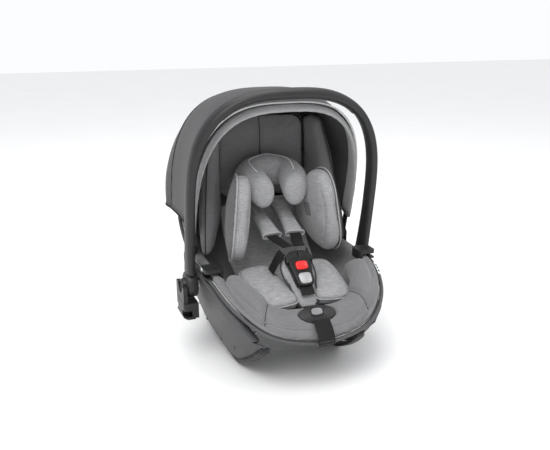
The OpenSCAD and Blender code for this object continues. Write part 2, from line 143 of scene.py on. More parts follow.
def resample(path, step):
    """The points of a path at equal steps along it."""
    p = np.asarray(path, float)
    run = np.concatenate([[0], np.cumsum(np.linalg.norm(np.diff(p, axis=0), axis=1))])
    at = np.linspace(0, run[-1], max(2, int(round(run[-1] / step)) + 1))
    return np.stack([np.interp(at, run, p[:, k]) for k in range(3)], axis=1)


def turn(points, axis, degrees):
    """Points turned about the origin by the right-hand rule about axis 0, 1 or 2."""
    p = np.asarray(points, float).copy()
    a, (i, j) = math.radians(degrees), [(1, 2), (2, 0), (0, 1)][axis]
    u, v = p[..., i].copy(), p[..., j].copy()
    p[..., i], p[..., j] = u * math.cos(a) - v * math.sin(a), u * math.sin(a) + v * math.cos(a)
    return p


def at_buckle(points):
    return turn(points, 0, BUCKLE_TILT) + BUCKLE_AT


def at_adjuster(points):
    return turn(points, 0, ADJUSTER_TILT) + ADJUSTER_AT


# ---- Meshes ----
def linked(name, data):
    obj = bpy.data.objects.new(name, data)
    scene.collection.objects.link(obj)
    return obj


def set_points(mesh, co):
    mesh.vertices.foreach_set("co", co.ravel())
    mesh.update()


def set_looks(obj, *looks):
    obj.data.materials.clear()
    for look in looks:
        obj.data.materials.append(look)


def add_mesh(name, points, faces, smooth=True):
    """A mesh object from points in millimetres, its faces turned outwards where it is closed."""
    points = np.asarray(points, float)
    mesh = bpy.data.meshes.new(name)
    mesh.from_pydata((points * MM).tolist(), [], [tuple(int(i) for i in f) for f in faces])
    mesh.validate()
    mesh.polygons.foreach_set("use_smooth", [smooth] * len(mesh.polygons))
    if signed_volume(mesh) < 0:
        mesh.flip_normals()
    return linked(name, mesh)


def signed_volume(mesh):
    mesh.calc_loop_triangles()
    tris = np.empty(len(mesh.loop_triangles) * 3, int)
    mesh.loop_triangles.foreach_get("vertices", tris)
    co = coords(mesh)[tris.reshape(-1, 3)]
    return float(np.einsum("ij,ij->i", co[:, 0], np.cross(co[:, 1], co[:, 2])).sum())


def coords(mesh):
    co = np.empty(len(mesh.vertices) * 3)
    mesh.vertices.foreach_get("co", co)
    return co.reshape(-1, 3)


def grid_faces(rows, cols, wrap):
    faces = []
    for i in range(rows - 1):
        for j in range(cols if wrap else cols - 1):
            k = (j + 1) % cols
            faces.append((i * cols + j, i * cols + k, (i + 1) * cols + k, (i + 1) * cols + j))
    return faces


def loft(name, rings, wrap_ends=False):
    """A closed solid through rings of equal length, with a fan at each end or joined end to end."""
    rings = np.asarray(rings, float)
    m, n = rings.shape[:2]
    points = rings.reshape(-1, 3)
    faces = grid_faces(m, n, True)
    if wrap_ends:
        faces += [((m - 1) * n + j, (m - 1) * n + (j + 1) % n, (j + 1) % n, j) for j in range(n)]
        return add_mesh(name, points, faces)
    points = np.concatenate([points, rings[:1].mean(1), rings[-1:].mean(1)])
    faces += [(m * n, (j + 1) % n, j) for j in range(n)]
    faces += [(m * n + 1, (m - 1) * n + j, (m - 1) * n + (j + 1) % n) for j in range(n)]
    return add_mesh(name, points, faces)


def frames_along(path):
    """Tangents and two steady normals along a path."""
    tangents = np.gradient(path, axis=0)
    tangents /= np.linalg.norm(tangents, axis=1)[:, None]
    first = np.cross(tangents[0], [0.31, 0.77, 0.55])
    normals = [first / np.linalg.norm(first)]
    for t in tangents[1:]:
        n = normals[-1] - t * (normals[-1] @ t)
        normals.append(n / np.linalg.norm(n))
    normals = np.array(normals)
    return tangents, normals, np.cross(tangents, normals)


def tube(name, path, radius, sides=10):
    """A round cord of fabric or plastic along a path."""
    path = resample(path, CORD_STEP)
    tangents, a, b = frames_along(path)
    angles = circle(sides)
    ring = np.cos(angles)[None, :, None] * a[:, None] + np.sin(angles)[None, :, None] * b[:, None]
    rings = path[:, None] + radius * ring
    tips = [path[0] - tangents[0] * radius * 0.6 + 0.55 * radius * ring[0],
            path[-1] + tangents[-1] * radius * 0.6 + 0.55 * radius * ring[-1]]
    return loft(name, np.concatenate([[tips[0]], rings, [tips[1]]]))


def stitches(name, path):
    """A row of sewn stitches lying on a path: one small spindle of thread each."""
    path = resample(path, STITCH_STEP)
    _, a, b = frames_along(path)
    long = int(STITCH_LENGTH / STITCH_STEP)
    every = int((STITCH_LENGTH + STITCH_GAP) / STITCH_STEP)
    points, faces = [], []
    for start in range(0, len(path) - long, every):
        base = len(points)
        for share, size in ((0, 0.35), (0.25, 1), (0.75, 1), (1, 0.35)):
            i = start + int(share * long)
            for k in range(5):
                w = 2 * math.pi * k / 5
                points.append(path[i] + STITCH_RADIUS * size * (math.cos(w) * a[i] + math.sin(w) * b[i]))
        faces += [tuple(base + k for k in f) for f in grid_faces(4, 5, True)]
        faces += [tuple(base + k for k in range(4, -1, -1)), tuple(base + 15 + k for k in range(5))]
    return add_mesh(name, points, faces)


def lathe(name, profile, centre):
    """A part turned about X: profile rows are (x, radius), and close on themselves."""
    angles = circle(TURNED_SIDES)
    rings = [centre + np.column_stack([
        np.full(TURNED_SIDES, along), radius * np.cos(angles), radius * np.sin(angles)])
        for along, radius in profile]
    return loft(name, rings, wrap_ends=True)


def strap(name, route, width, thick, side=(1, 0, 0), steps=70):
    """Flat webbing along a curve, with rounded edges; its UV runs across and along, in metres."""
    t = np.linspace(0, 1, steps)
    path = curve(route, t)
    run = np.concatenate([[0], np.cumsum(np.linalg.norm(np.diff(path, axis=0), axis=1))])
    along = np.gradient(path, axis=0)
    along /= np.linalg.norm(along, axis=1)[:, None]
    up = np.cross(np.broadcast_to(np.asarray(side, float), along.shape), along)
    up /= np.linalg.norm(up, axis=1)[:, None]
    across = np.cross(along, up)
    w, h = width / 2, thick / 2
    section = [(-w, 0), (-w + 0.5, -h), (-w * 0.5, -h), (0, -h), (w * 0.5, -h), (w - 0.5, -h),
               (w, 0), (w - 0.5, h), (w * 0.5, h), (0, h), (-w * 0.5, h), (-w + 0.5, h)]
    rings = np.stack([path + across * u + up * v for u, v in section], axis=1)
    obj = loft(name, rings)
    layer = obj.data.uv_layers.new(name="webbing")
    n = len(section)
    for loop in obj.data.loops:
        i = loop.vertex_index
        if i < n * steps:
            layer.data[loop.index].uv = (section[i % n][0] * MM, run[i // n] * MM)
        else:
            layer.data[loop.index].uv = (0, run[0 if i == n * steps else -1] * MM)
    return obj


def pad(name, outline, thick, place, crown):
    """A stuffed pad: outline is a few (u, v) points round it, crowned on both faces by thick."""
    rim = ring_curve(outline, PAD_POINTS)
    centre = rim.mean(0)
    shares = np.sin(np.linspace(0.06, 1, PAD_RINGS) * math.pi / 2)
    levels = []
    for face in (1, -1):
        for share in (shares if face > 0 else shares[::-1][1:]):
            uv = centre + (rim - centre) * share
            height = face * thick / 2 * max(0, 1 - share**2.6) ** crown
            levels.append(np.column_stack([uv, np.full(PAD_POINTS, height)]))
    return loft(name, place(np.array(levels)))


def mirrored(obj, name):
    """A copy of a right-hand piece for the left side."""
    mesh = obj.data.copy()
    co = coords(mesh)
    co[:, 0] *= -1
    mesh.vertices.foreach_set("co", co.ravel())
    mesh.flip_normals()
    mesh.update()
    twin = linked(name, mesh)
    for m in obj.modifiers:
        copy = twin.modifiers.new(m.name, m.type)
        for p in m.bl_rna.properties:
            if not p.is_readonly and p.identifier not in ("name", "type"):
                setattr(copy, p.identifier, getattr(m, p.identifier))
    return twin


def bevel(obj, width):
    m = obj.modifiers.new("bevel", "BEVEL")
    m.width, m.segments = width * MM, 2
    m.limit_method, m.angle_limit = "ANGLE", math.radians(35)
    m.harden_normals = False


def subdivide(obj):
    m = obj.modifiers.new("subdivision", "SUBSURF")
    m.levels = m.render_levels = 1
    return obj


def bake(obj):
    """Applies the modifiers of obj to its mesh."""
    bpy.context.view_layer.update()
    shape = obj.evaluated_get(bpy.context.evaluated_depsgraph_get())
    mesh = bpy.data.meshes.new_from_object(shape)
    obj.modifiers.clear()
    old, obj.data = obj.data, mesh
    bpy.data.meshes.remove(old)
    mesh.polygons.foreach_set("use_smooth", [True] * len(mesh.polygons))
    return obj


def puff(obj, voxel, cap):
    """Fills a cushion: remeshed as cloth, blown up a little, then smoothed by one subdivision."""
    m = obj.modifiers.new("remesh", "REMESH")
    m.mode, m.voxel_size = "VOXEL", voxel * MM
    bake(obj)
    start = coords(obj.data)
    cloth = obj.modifiers.new("cloth", "CLOTH")
    cloth.settings.quality = 6
    cloth.settings.use_pressure = True
    cloth.settings.uniform_pressure_force = CUSHION_PRESSURE
    cloth.settings.effector_weights.gravity = 0
    cloth.settings.tension_stiffness = cloth.settings.compression_stiffness = 12
    cloth.point_cache.frame_end = 20
    for f in range(1, 21):
        scene.frame_set(f)
    shape = obj.evaluated_get(bpy.context.evaluated_depsgraph_get())
    move = coords(shape.data) - start
    obj.modifiers.clear()
    scene.frame_set(1)
    size = np.linalg.norm(move, axis=1)
    move *= (np.minimum(size, cap * MM) / np.maximum(size, 1e-9))[:, None]
    set_points(obj.data, start + move)
    subdivide(obj)
    return bake(obj)


def groove(obj, path, depth, width):
    """Pulls the surface of obj in along a path, as a seam or a sewn channel does."""
    tree_path = resample(path, 2)
    tree = KDTree(len(tree_path))
    for i, p in enumerate(tree_path):
        tree.insert(p, i)
    tree.balance()
    co = coords(obj.data) / MM
    normals = np.empty(len(co) * 3)
    obj.data.vertices.foreach_get("normal", normals)
    normals = normals.reshape(-1, 3)
    away = np.array([tree.find(p)[2] for p in co])
    co -= normals * (depth * np.exp(-(away / width) ** 2))[:, None]
    set_points(obj.data, co * MM)


def onto(obj, path, direction, lift=0.0):
    """A path thrown on to the surface of obj along a direction; points that miss are dropped."""
    bpy.context.view_layer.update()
    d = Vector(direction).normalized()
    out = []
    for p in np.asarray(path, float):
        start = Vector(p * MM) - d * 0.3
        hit, where, normal, _ = obj.ray_cast(start, d)
        if hit:
            out.append(np.array(where) / MM + np.array(normal) * lift)
    return np.array(out)


# ---- Looks ----
RIB_PITCH, PICK_PITCH, RING_PITCH = 0.0032, 0.0014, 0.0021


class Graph:
    """A short way to write a material's nodes."""

    def __init__(self, name, rough, **constants):
        self.material = bpy.data.materials.new(name)
        self.material.use_nodes = True
        self.tree = self.material.node_tree
        self.shader = self.tree.nodes["Principled BSDF"]
        self.shader.inputs["Roughness"].default_value = rough
        for key, value in constants.items():
            self.shader.inputs[key.replace("_", " ")].default_value = value
        self.place = self.add("ShaderNodeTexCoord").outputs["Object"]

    def add(self, kind, **settings):
        node = self.tree.nodes.new(kind)
        for key, value in settings.items():
            setattr(node, key, value)
        return node

    def link(self, source, target):
        self.tree.links.new(source, target)

    def feed(self, value, target):
        """Links an output to the target, or gives the target a plain value."""
        if hasattr(value, "node"):
            self.link(value, target)
        else:
            target.default_value = value

    def math(self, operation, a, b=None):
        node = self.add("ShaderNodeMath", operation=operation)
        for value, target in zip((a, b), node.inputs):
            if value is not None:
                self.feed(value, target)
        return node.outputs[0]

    def scaled(self, source, factor, offset):
        return self.math("ADD", self.math("MULTIPLY", source, factor), offset)

    def wave(self, source, pitch):
        return self.math("SINE", self.math("MULTIPLY", source, 2 * math.pi / pitch))

    def stretched(self, scale):
        node = self.add("ShaderNodeMapping")
        node.inputs["Scale"].default_value = scale
        self.link(self.place, node.inputs["Vector"])
        return node.outputs[0]

    def noise(self, scale, detail=2.0, place=None, rough=0.5):
        node = self.add("ShaderNodeTexNoise")
        node.inputs["Scale"].default_value = scale
        node.inputs["Detail"].default_value = detail
        node.inputs["Roughness"].default_value = rough
        self.link(place or self.place, node.inputs["Vector"])
        return node.outputs["Fac"]

    def ramp(self, source, stops):
        node = self.add("ShaderNodeValToRGB")
        ends = node.color_ramp.elements
        while len(ends) < len(stops):
            ends.new(0.5)
        for end, (at, colour) in zip(ends, stops):
            end.position, end.color = at, (*colour, 1)
        self.link(source, node.inputs[0])
        return node.outputs[0]

    def shade(self, colour, source, low, high):
        """The colour made darker by low and lighter by high as source goes from 0.3 to 0.7."""
        return self.ramp(source, [(0.3, [c * low for c in colour]), (0.7, [c * high for c in colour])])

    def mixed(self, a, b, factor, blend="MIX"):
        node = self.add("ShaderNodeMix", data_type="RGBA", blend_type=blend)
        for value, key in ((factor, "Factor"), (a, 6), (b, 7)):
            self.feed(value, node.inputs[key])
        return node.outputs[2]

    def multiplied(self, a, b):
        return self.mixed(a, b, 1, "MULTIPLY")

    def colour(self, source):
        self.link(source, self.shader.inputs["Base Color"])

    def roughness(self, source, spread, least):
        """Roughness that rises from least by spread as source rises from 0 to 1."""
        self.link(self.scaled(source, spread, least), self.shader.inputs["Roughness"])

    def bump(self, source, strength, distance, under=None):
        node = self.add("ShaderNodeBump")
        node.inputs["Strength"].default_value = strength
        node.inputs["Distance"].default_value = distance
        self.link(source, node.inputs["Height"])
        if under is not None:
            self.link(under, node.inputs["Normal"])
        self.link(node.outputs[0], self.shader.inputs["Normal"])
        return node.outputs[0]

    def threads(self, pitch):
        """A plain weave with threads at the given pitch, in metres, on a face of any direction."""
        split = self.add("ShaderNodeSeparateXYZ")
        self.link(self.place, split.inputs[0])
        wave = [self.wave(axis, 2 * pitch) for axis in split.outputs]
        pairs = [self.math("MULTIPLY", wave[i], wave[j]) for i, j in ((0, 2), (1, 2), (0, 1))]
        return self.math("ADD", self.math("ADD", pairs[0], pairs[1]), pairs[2])


def fabric(name, colour, melange=0.1, pitch=0.0011, crease=0.5, sheen=0.25):
    """Woven or knitted cloth: threads, streaks of lighter yarn, soft creases and worn high spots."""
    g = Graph(name, 0.92, Sheen_Weight=sheen, Sheen_Roughness=0.45, Specular_IOR_Level=0.25)
    streaks = g.noise(1, 3, g.stretched((70, 70, 620)))
    cross_streaks = g.noise(1, 2, g.stretched((520, 520, 60)))
    yarn = g.shade(colour, streaks, 1 - melange, 1 + melange)
    yarn2 = g.shade((1, 1, 1), cross_streaks, 1 - melange * 0.6, 1 + melange * 0.5)
    patchy = g.shade((1, 1, 1), g.noise(14, 3), 0.93, 1.05)
    g.colour(g.multiplied(g.multiplied(yarn, yarn2), patchy))
    creases = g.bump(g.noise(38, 4, rough=0.6), crease, 0.0016)
    g.bump(g.threads(pitch), 0.35, 0.0003, creases)
    return g.material


def moulded(name, colour, rough=0.5, grain=0.2, wear=1.5):
    """Moulded plastic: fine spark-eroded grain, faint mottling and paler worn edges."""
    g = Graph(name, rough, Specular_IOR_Level=0.35)
    base = g.shade(colour, g.noise(22, 4), 0.9, 1.08)
    edges = g.add("ShaderNodeNewGeometry").outputs["Pointiness"]
    worn = g.ramp(edges, [(0.52, (0, 0, 0)), (0.60, (1, 1, 1))])
    amount = g.math("MULTIPLY", worn, g.math("MULTIPLY", g.noise(90, 3), 0.7))
    paler = [min(1, c * wear + 0.015) for c in colour]
    g.colour(g.mixed(base, (*paler, 1), amount))
    g.roughness(g.noise(260, 3), 0.16, rough - 0.08)
    g.bump(g.noise(2600, 2), grain, 0.0002)
    return g.material


def glossy(name, colour, rough=0.22):
    """Smooth shiny plastic with faint swirls from handling."""
    g = Graph(name, rough, Coat_Weight=0.5, Coat_Roughness=0.12)
    g.colour(g.shade(colour, g.noise(40, 3), 0.94, 1.05))
    g.roughness(g.noise(500, 4), 0.14, rough - 0.05)
    g.bump(g.noise(700, 2), 0.06, 0.0002)
    return g.material


def steel(name):
    """Zinc-plated steel with drawing lines along X and dull spots."""
    g = Graph(name, 0.32, Metallic=1.0)
    lines = g.noise(1, 3, g.stretched((60, 2400, 2400)))
    g.colour(g.shade((0.56, 0.56, 0.58), lines, 0.86, 1.1))
    g.roughness(g.noise(120, 3), 0.25, 0.2)
    g.bump(lines, 0.12, 0.0002)
    return g.material


def beads(name):
    """Expanded bead foam: packed cells a few millimetres across."""
    g = Graph(name, 0.8)
    cells = g.add("ShaderNodeTexVoronoi")
    cells.inputs["Scale"].default_value = 260
    g.link(g.place, cells.inputs["Vector"])
    # The colour darkens towards each cell's border, where the bump sinks between the beads: painted shade in
    # the crevices.
    g.colour(g.shade((0.8, 0.8, 0.78), cells.outputs["Distance"], 1.02, 0.86))
    g.bump(g.math("MULTIPLY", cells.outputs["Distance"], -1.0), 0.6, 0.0008)
    return g.material


def woven_band(name, colour):
    """Seat-belt webbing: ribs along its length and a fine cross weave, by its UV."""
    g = Graph(name, 0.5, Sheen_Weight=0.05, Sheen_Roughness=0.4, Specular_IOR_Level=0.2)
    uv = g.add("ShaderNodeUVMap", uv_map="webbing").outputs[0]
    split = g.add("ShaderNodeSeparateXYZ")
    g.link(uv, split.inputs[0])
    ribs, picks = (g.wave(split.outputs[i], pitch) for i, pitch in enumerate((RIB_PITCH, PICK_PITCH)))
    weave = g.math("ADD", ribs, g.math("MULTIPLY", picks, 0.5))
    # The colour follows the weave that also drives the bump: lighter on the rib crowns and darker between the
    # ribs, as painted light and shade.
    relief_shade = g.scaled(weave, 0.12, 0.5)
    g.colour(g.multiplied(g.shade(colour, relief_shade, 0.75, 1.35), g.shade((1, 1, 1), g.noise(45, 3), 0.85, 1.1)))
    g.bump(weave, 0.5, 0.0004)
    return g.material


def ringed(name, colour):
    """Dark plastic with fine concentric rings round the adjuster's centre."""
    g = Graph(name, 0.38, Specular_IOR_Level=0.5)
    shift = g.add("ShaderNodeVectorMath", operation="SUBTRACT")
    shift.inputs[1].default_value = [v * MM for v in ADJUSTER_AT]
    g.link(g.place, shift.inputs[0])
    oval = g.add("ShaderNodeVectorMath", operation="MULTIPLY")
    oval.inputs[1].default_value = (1 / 2.05, 1.1, 1.1)
    g.link(shift.outputs[0], oval.inputs[0])
    far = g.add("ShaderNodeVectorMath", operation="LENGTH")
    g.link(oval.outputs[0], far.inputs[0])
    rings = g.wave(far.outputs["Value"], RING_PITCH)
    # The rings also set the colour, lighter on their crests and darker in their troughs: painted highlight
    # and shade on the ring relief.
    relief_shade = g.scaled(rings, 0.2, 0.5)
    g.colour(g.shade(colour, relief_shade, 0.6, 1.7))
    g.bump(rings, 0.6, 0.0004)
    return g.material


SHELL = moulded("shell_plastic", (0.062, 0.062, 0.064), 0.52)
BLACK = moulded("black_plastic", (0.008, 0.008, 0.0085), 0.4, 0.14, 2.0)
HANDLE = moulded("handle_plastic", (0.02, 0.02, 0.021), 0.42, 0.12, 1.6)
# Lighter grey for the grip strip on the handle's inner face: a painted reflection of light along that face.
GRIP_REFLECTION_GREY = moulded("grip_trim", (0.085, 0.085, 0.088), 0.45)
FOAM = beads("bead_foam")
STEEL = steel("zinc_steel")
COVER = fabric("cover_fabric", (0.165, 0.165, 0.168), 0.07)
LINING = fabric("seat_lining", (0.17, 0.17, 0.173), 0.07)
INSERT = fabric("insert_knit", (0.285, 0.285, 0.29), 0.16, 0.0013)
INSERT_DARK = fabric("insert_gusset", (0.125, 0.125, 0.128), 0.08)
PIPING = fabric("piping", (0.34, 0.34, 0.345), 0.05, 0.0009, 0.2)
PALE_PIPING = fabric("pale_piping", (0.72, 0.72, 0.72), 0.05, 0.0009, 0.2)
DARK_PIPING = fabric("dark_piping", (0.03, 0.03, 0.031), 0.05, 0.0009, 0.1)
THREAD = fabric("thread", (0.2, 0.2, 0.203), 0.05, 0.0006, 0.1)
CANOPY = fabric("canopy_fabric", (0.068, 0.068, 0.07), 0.07, 0.001, 0.35, 0.15)
CANOPY_LINING = fabric("canopy_lining", (0.014, 0.014, 0.015), 0.06, 0.001, 0.3, 0.08)
CANOPY_HEM = fabric("canopy_hem", (0.33, 0.33, 0.335), 0.06, 0.001, 0.3)
WEBBING = woven_band("webbing", (0.008, 0.008, 0.0085))
RED = glossy("release_red", (0.72, 0.012, 0.012), 0.25)
SILVER = glossy("buckle_grey", (0.36, 0.36, 0.365), 0.2)
GREY_BUTTON = glossy("adjuster_grey", (0.21, 0.21, 0.215), 0.3)
LABEL = glossy("label_strip", (0.75, 0.82, 0.74), 0.4)
RINGED = ringed("adjuster_black", (0.012, 0.012, 0.013))


def dress(obj, look, body="root", stands_for=()):
    """Gives a piece its look, slot and body, and hides the CAD nodes that it stands for."""
    set_looks(obj, look)
    if stands_for:
        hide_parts(*([stands_for] if isinstance(stands_for, str) else stands_for))
    if body:
        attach(obj, body)
    return obj


def pair(right, name, look, body="root", stands_for="", bodies=None):
    """Dresses a right-hand piece and its mirrored twin; "_left" and "_right" end every name."""
    left = mirrored(right, name + "_left")
    right.name = right.data.name = name + "_right"
    for obj, side in ((left, "_left"), (right, "_right")):
        dress(obj, look, (body + side) if bodies else body,
              stands_for + side if stands_for else ())
    return left, right


def blend_mm(obj):
    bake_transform(obj)


# ---- Shell ----
def plan_r(phi, side, end):
    head = math.sin(phi) > 0
    n = HEAD_SQUARE if head else FOOT_SQUARE
    a, b = SHELL_HALF_WIDTH - side, (HEAD_REACH if head else FOOT_REACH) - end
    return (abs(math.cos(phi) / a) ** n + abs(math.sin(phi) / b) ** n) ** (-1 / n)


def rim_z(phi):
    return smooth_at(math.degrees(math.acos(math.sin(phi))), RIM_HEIGHTS)


def from_axis(r, phi, z):
    """A point r from the bowl's upright axis, at the angle phi and the height z."""
    return (r * math.cos(phi), SHELL_CENTRE_Y + r * math.sin(phi), z)


def off_foam(gap):
    """The insets and floor height of a bowl that clears the foam by the gap."""
    return SIDE_FOAM + gap, HEAD_FOAM + gap, FOAM_FLOOR_Z + gap


def bowl_point(phi, s, side, end, floor_z, lift=0.0):
    """A point of the bowl: s is 0 at the middle of the floor and 1 at the rim."""
    part = math.sin(s * math.pi / 2) ** SHELL_BELLY
    r = plan_r(phi, side, end) * part
    rise = mix(1 - math.cos(s * math.pi / 2), part**FOOT_SLOPE, max(0, -math.sin(phi)) ** 2)
    return from_axis(r, phi, mix(floor_z, rim_z(phi), rise) + lift)


def bowl_ring(s, side, end, floor_z, lift=0.0, count=168):
    return [bowl_point(2 * math.pi * j / count, s, side, end, floor_z, lift) for j in range(count)]


def seat_shell():
    steps = np.linspace(0.06, 1, 26)
    rings = [bowl_ring(s, 0, 0, SHELL_FLOOR_Z) for s in steps]
    for inset, lift in ((-2.2, -3), (-3, 0), (-2.4, 2.4), (-0.6, 3.6), (2, 3.6), (SHELL_WALL, 1.5)):
        rings.append(bowl_ring(1, inset, inset, SHELL_FLOOR_Z, lift))
    rings += [bowl_ring(s, SHELL_WALL, SHELL_WALL, SHELL_FLOOR_Z + SHELL_WALL) for s in steps[::-1]]
    dress(loft("shell_bowl", rings), SHELL, "root", "seat_shell")
    for k, x in enumerate((-66, -22, 22, 66)):
        dress(belly_rib(f"shell_rib_{k + 1}", x), SHELL)


def belly_rib(name, x):
    """A stiffening rib along the underside of the shell."""
    depth, thick = 7, 2.6
    top, bottom = [], []
    for y in np.linspace(-150, 120, 46):
        phi = math.atan2(y - SHELL_CENTRE_Y, x)
        part = min(1, math.hypot(x, y - SHELL_CENTRE_Y) / plan_r(phi, 0, 0)) ** (1 / SHELL_BELLY)
        s = math.asin(part) * 2 / math.pi
        z = bowl_point(phi, s, 0, 0, SHELL_FLOOR_Z)[2]
        edge = min(1, (135 - abs(y + 15)) / 24)
        top.append((y, z + 1.2))
        bottom.append((y, z - depth * math.sqrt(max(0, edge))))
    rings = [[(x - thick / 2, a[0], a[1]), (x + thick / 2, a[0], a[1]),
              (x + thick / 2, b[0], b[1] + 1), (x + thick / 4, b[0], b[1]),
              (x - thick / 4, b[0], b[1]), (x - thick / 2, b[0], b[1] + 1)]
             for a, b in zip(top, bottom)]
    return loft(name, rings)


def seat_lining():
    """The fabric that covers the foam inside the shell, with its centre seam."""
    steps = np.linspace(0.14, 1, 30)
    clear, cloth = 0.4, 3.2
    back = [bowl_ring(s, *off_foam(clear)) for s in steps]
    rim = [bowl_ring(1, *args) for args in (
        (7, 10, 0, 0.8), (4.5, 7, 0, 3), (5, 8, 0, 7), (9, 14, 0, 9.5), (16, 34, 0, 10.5),
        (23, 54, 0, 8.5), (28, 64, 0, 2.5))]
    front = [bowl_ring(s, *off_foam(cloth)) for s in steps[-2::-1]]
    lining = bake(subdivide(loft("seat_lining", back + rim + front)))
    seam = [bowl_point(math.pi / 2, s, *off_foam(cloth)) for s in np.linspace(0.5, 0.995, 40)]
    groove(lining, seam, 2.6, 4.5)
    dress(lining, LINING)
    sunk = np.array(seam) + (0, 1.2, -0.6)
    dress(tube("seat_lining_seam", sunk, 1.1), DARK_PIPING)


# ---- Side panels and runners ----
ROCKER_LINE = [(-250, 104), (-220, 76), (-180, 46), (-140, 22), (-100, 5), (-64, 0), (64, 0),
               (100, 4), (150, 14), (200, 24), (232, 30)]
PANEL_FRONT, PANEL_BACK = -236, 168
RUNNER_FLAT, RUNNER_BACK = 64, 225


def rocker_z(y):
    return 0 if abs(y) <= RUNNER_FLAT else smooth_at(y, ROCKER_LINE)


def panel_section(y):
    """The top and the foot of the side panel at y, each as (x, z)."""
    over, under = max(0, (y - 40) / 130), max(0, (-y - 100) / 136)
    top = (195 - 18 * over**2 - 42 * under**2.2, 205 - 62 * under**1.6)
    foot = (128 - 10 * max(0, (abs(y) - 100) / 136) ** 2, rocker_z(y) + 12)
    fall = 0
    for share, beyond, reach in ((0.7, PANEL_FRONT + 22 - y, 22), (0.5, y - PANEL_BACK + 60, 60)):
        closing = min(1, max(0, beyond / reach))
        fall += (top[1] - foot[1]) * share * (1 - math.sqrt(1 - 0.98 * closing**2.4))
    return (top[0], top[1] - fall), foot


def panel_at(y, t, depth):
    top, foot = panel_section(y)
    return (mix(foot[0], top[0], t**0.65) - depth, y, mix(foot[1], top[1], t))


def side_panel():
    wall, groove_in, groove_depth, nose = 3.2, 15, 1.5, 14
    ys = np.concatenate([np.linspace(PANEL_FRONT, -212, 20), np.linspace(-209, PANEL_BACK, 76)])
    ts = np.concatenate([np.linspace(0, 0.7, 16), np.linspace(0.72, 1, 30)])
    rings = []
    for y in ys:
        top, foot = panel_section(y)
        height = top[1] - foot[1]
        tuck = 11 * max(0, (PANEL_FRONT + nose - y) / nose) ** 2
        tuck += 5 * max(0, (y - PANEL_BACK + nose) / nose) ** 2
        outer = []
        for t in ts:
            border = min((1 - t) * height, y - PANEL_FRONT, PANEL_BACK - y)
            line = groove_depth * math.exp(-((border - groove_in) / 1.7) ** 2)
            round_top = 2.2 * max(0, 1 - (1 - t) * height / 3.5) ** 2
            outer.append(panel_at(y, t, tuck + line + round_top))
        x, _, z = outer[-1]
        lip = [(x - 3, y, z + 0.6), (x - 17, y, z + 0.2), (x - 17, y, z - 3)]
        inner = [panel_at(y, t, wall + tuck) for t in ts[-2::-3]]
        rings.append(outer + lip + inner)
    pair(loft("side_panel", rings), "side_shell", SHELL, "root", "side_panel")


def rocker_rail():
    ys = np.concatenate([np.linspace(PANEL_FRONT, -RUNNER_FLAT, 40), np.linspace(-60, 60, 14),
                         np.linspace(RUNNER_FLAT, RUNNER_BACK, 36)])
    section = ring_curve([(-20, 3), (-17, 0), (-3, 0), (0, 3), (0, 8.5), (-3, 11.5), (-17, 11.5),
                          (-20, 8.5)], 32)
    rings = []
    for y in ys:
        end = min(1, math.sqrt(min(y - PANEL_FRONT, RUNNER_BACK - y) / 7 + 0.02))
        x, z = panel_section(y)[1][0] - 1, rocker_z(y)
        rings.append([(x - 10 + (u + 10) * end, y, z + 5.75 + (v - 5.75) * end) for u, v in section])
    pair(loft("rocker_rail", rings), "runner", BLACK, "root", "rocker_rail")
    points, faces = [], []
    for y0 in np.arange(-58, 56, 12):
        middle, y1, base = panel_section(y0)[1][0] - 11, y0 + 7, len(points)
        x0, x1 = middle - 8.2, middle + 8.2
        for z, inset in ((0.9, 0), (0.25, 0), (0.02, 0.7)):
            points += [(x0 + inset, y0 + inset, z), (x1 - inset, y0 + inset, z),
                       (x1 - inset, y1 - inset, z), (x0 + inset, y1 - inset, z)]
        faces += [tuple(base + k for k in f) for f in grid_faces(3, 4, True)]
        faces += [(base + 3, base + 2, base + 1, base), (base + 8, base + 9, base + 10, base + 11)]
    pair(add_mesh("grip_pads", points, faces, False), "runner_grip_pads", BLACK)


# ---- Handle ----
def handle_line(t):
    """The bow's middle line in its own plane: (across, up) at t from 0 to 1."""
    x, straight = HANDLE_PIVOT[0], HANDLE_STRAIGHT
    if t < 0.3:
        return np.array([x + HANDLE_BULGE * math.sin(math.radians(300 * t)), straight * t / 0.3])
    a, power = math.radians(90 * (t - 0.3) / 0.7), 2 / HANDLE_SQUARE
    return np.array([(x + HANDLE_BULGE) * math.cos(a) ** power if t < 1 else 0,
                     straight + (HANDLE_RADIUS - straight) * math.sin(a) ** power])


def handle_ring(t, side, section):
    """The section, rows (outwards, along the carrier), round the bow at t."""
    p = handle_line(t)
    q = handle_line(min(1, t + 0.004)) - handle_line(max(0, t - 0.004))
    tangent = np.array([-1, 0]) if t > 0.995 else q / np.linalg.norm(q)
    n = np.array([tangent[1], -tangent[0]])
    return [(side * (p[0] + n[0] * u), v, p[1] + n[1] * u) for u, v in section]


def in_handle_plane(points):
    return turn(points, 0, HANDLE_LEAN) + HANDLE_PIVOT * (0, 1, 1)


def handle_bow(name, section, first, count=80):
    steps = np.linspace(first, 0.999, count)
    sections = [section(t) for t in steps]
    rings = [handle_ring(t, -1, s) for t, s in zip(steps, sections)]
    rings += [handle_ring(t, 1, s) for t, s in zip(steps[::-1], sections[::-1])]
    return loft(name, in_handle_plane(np.array(rings)))


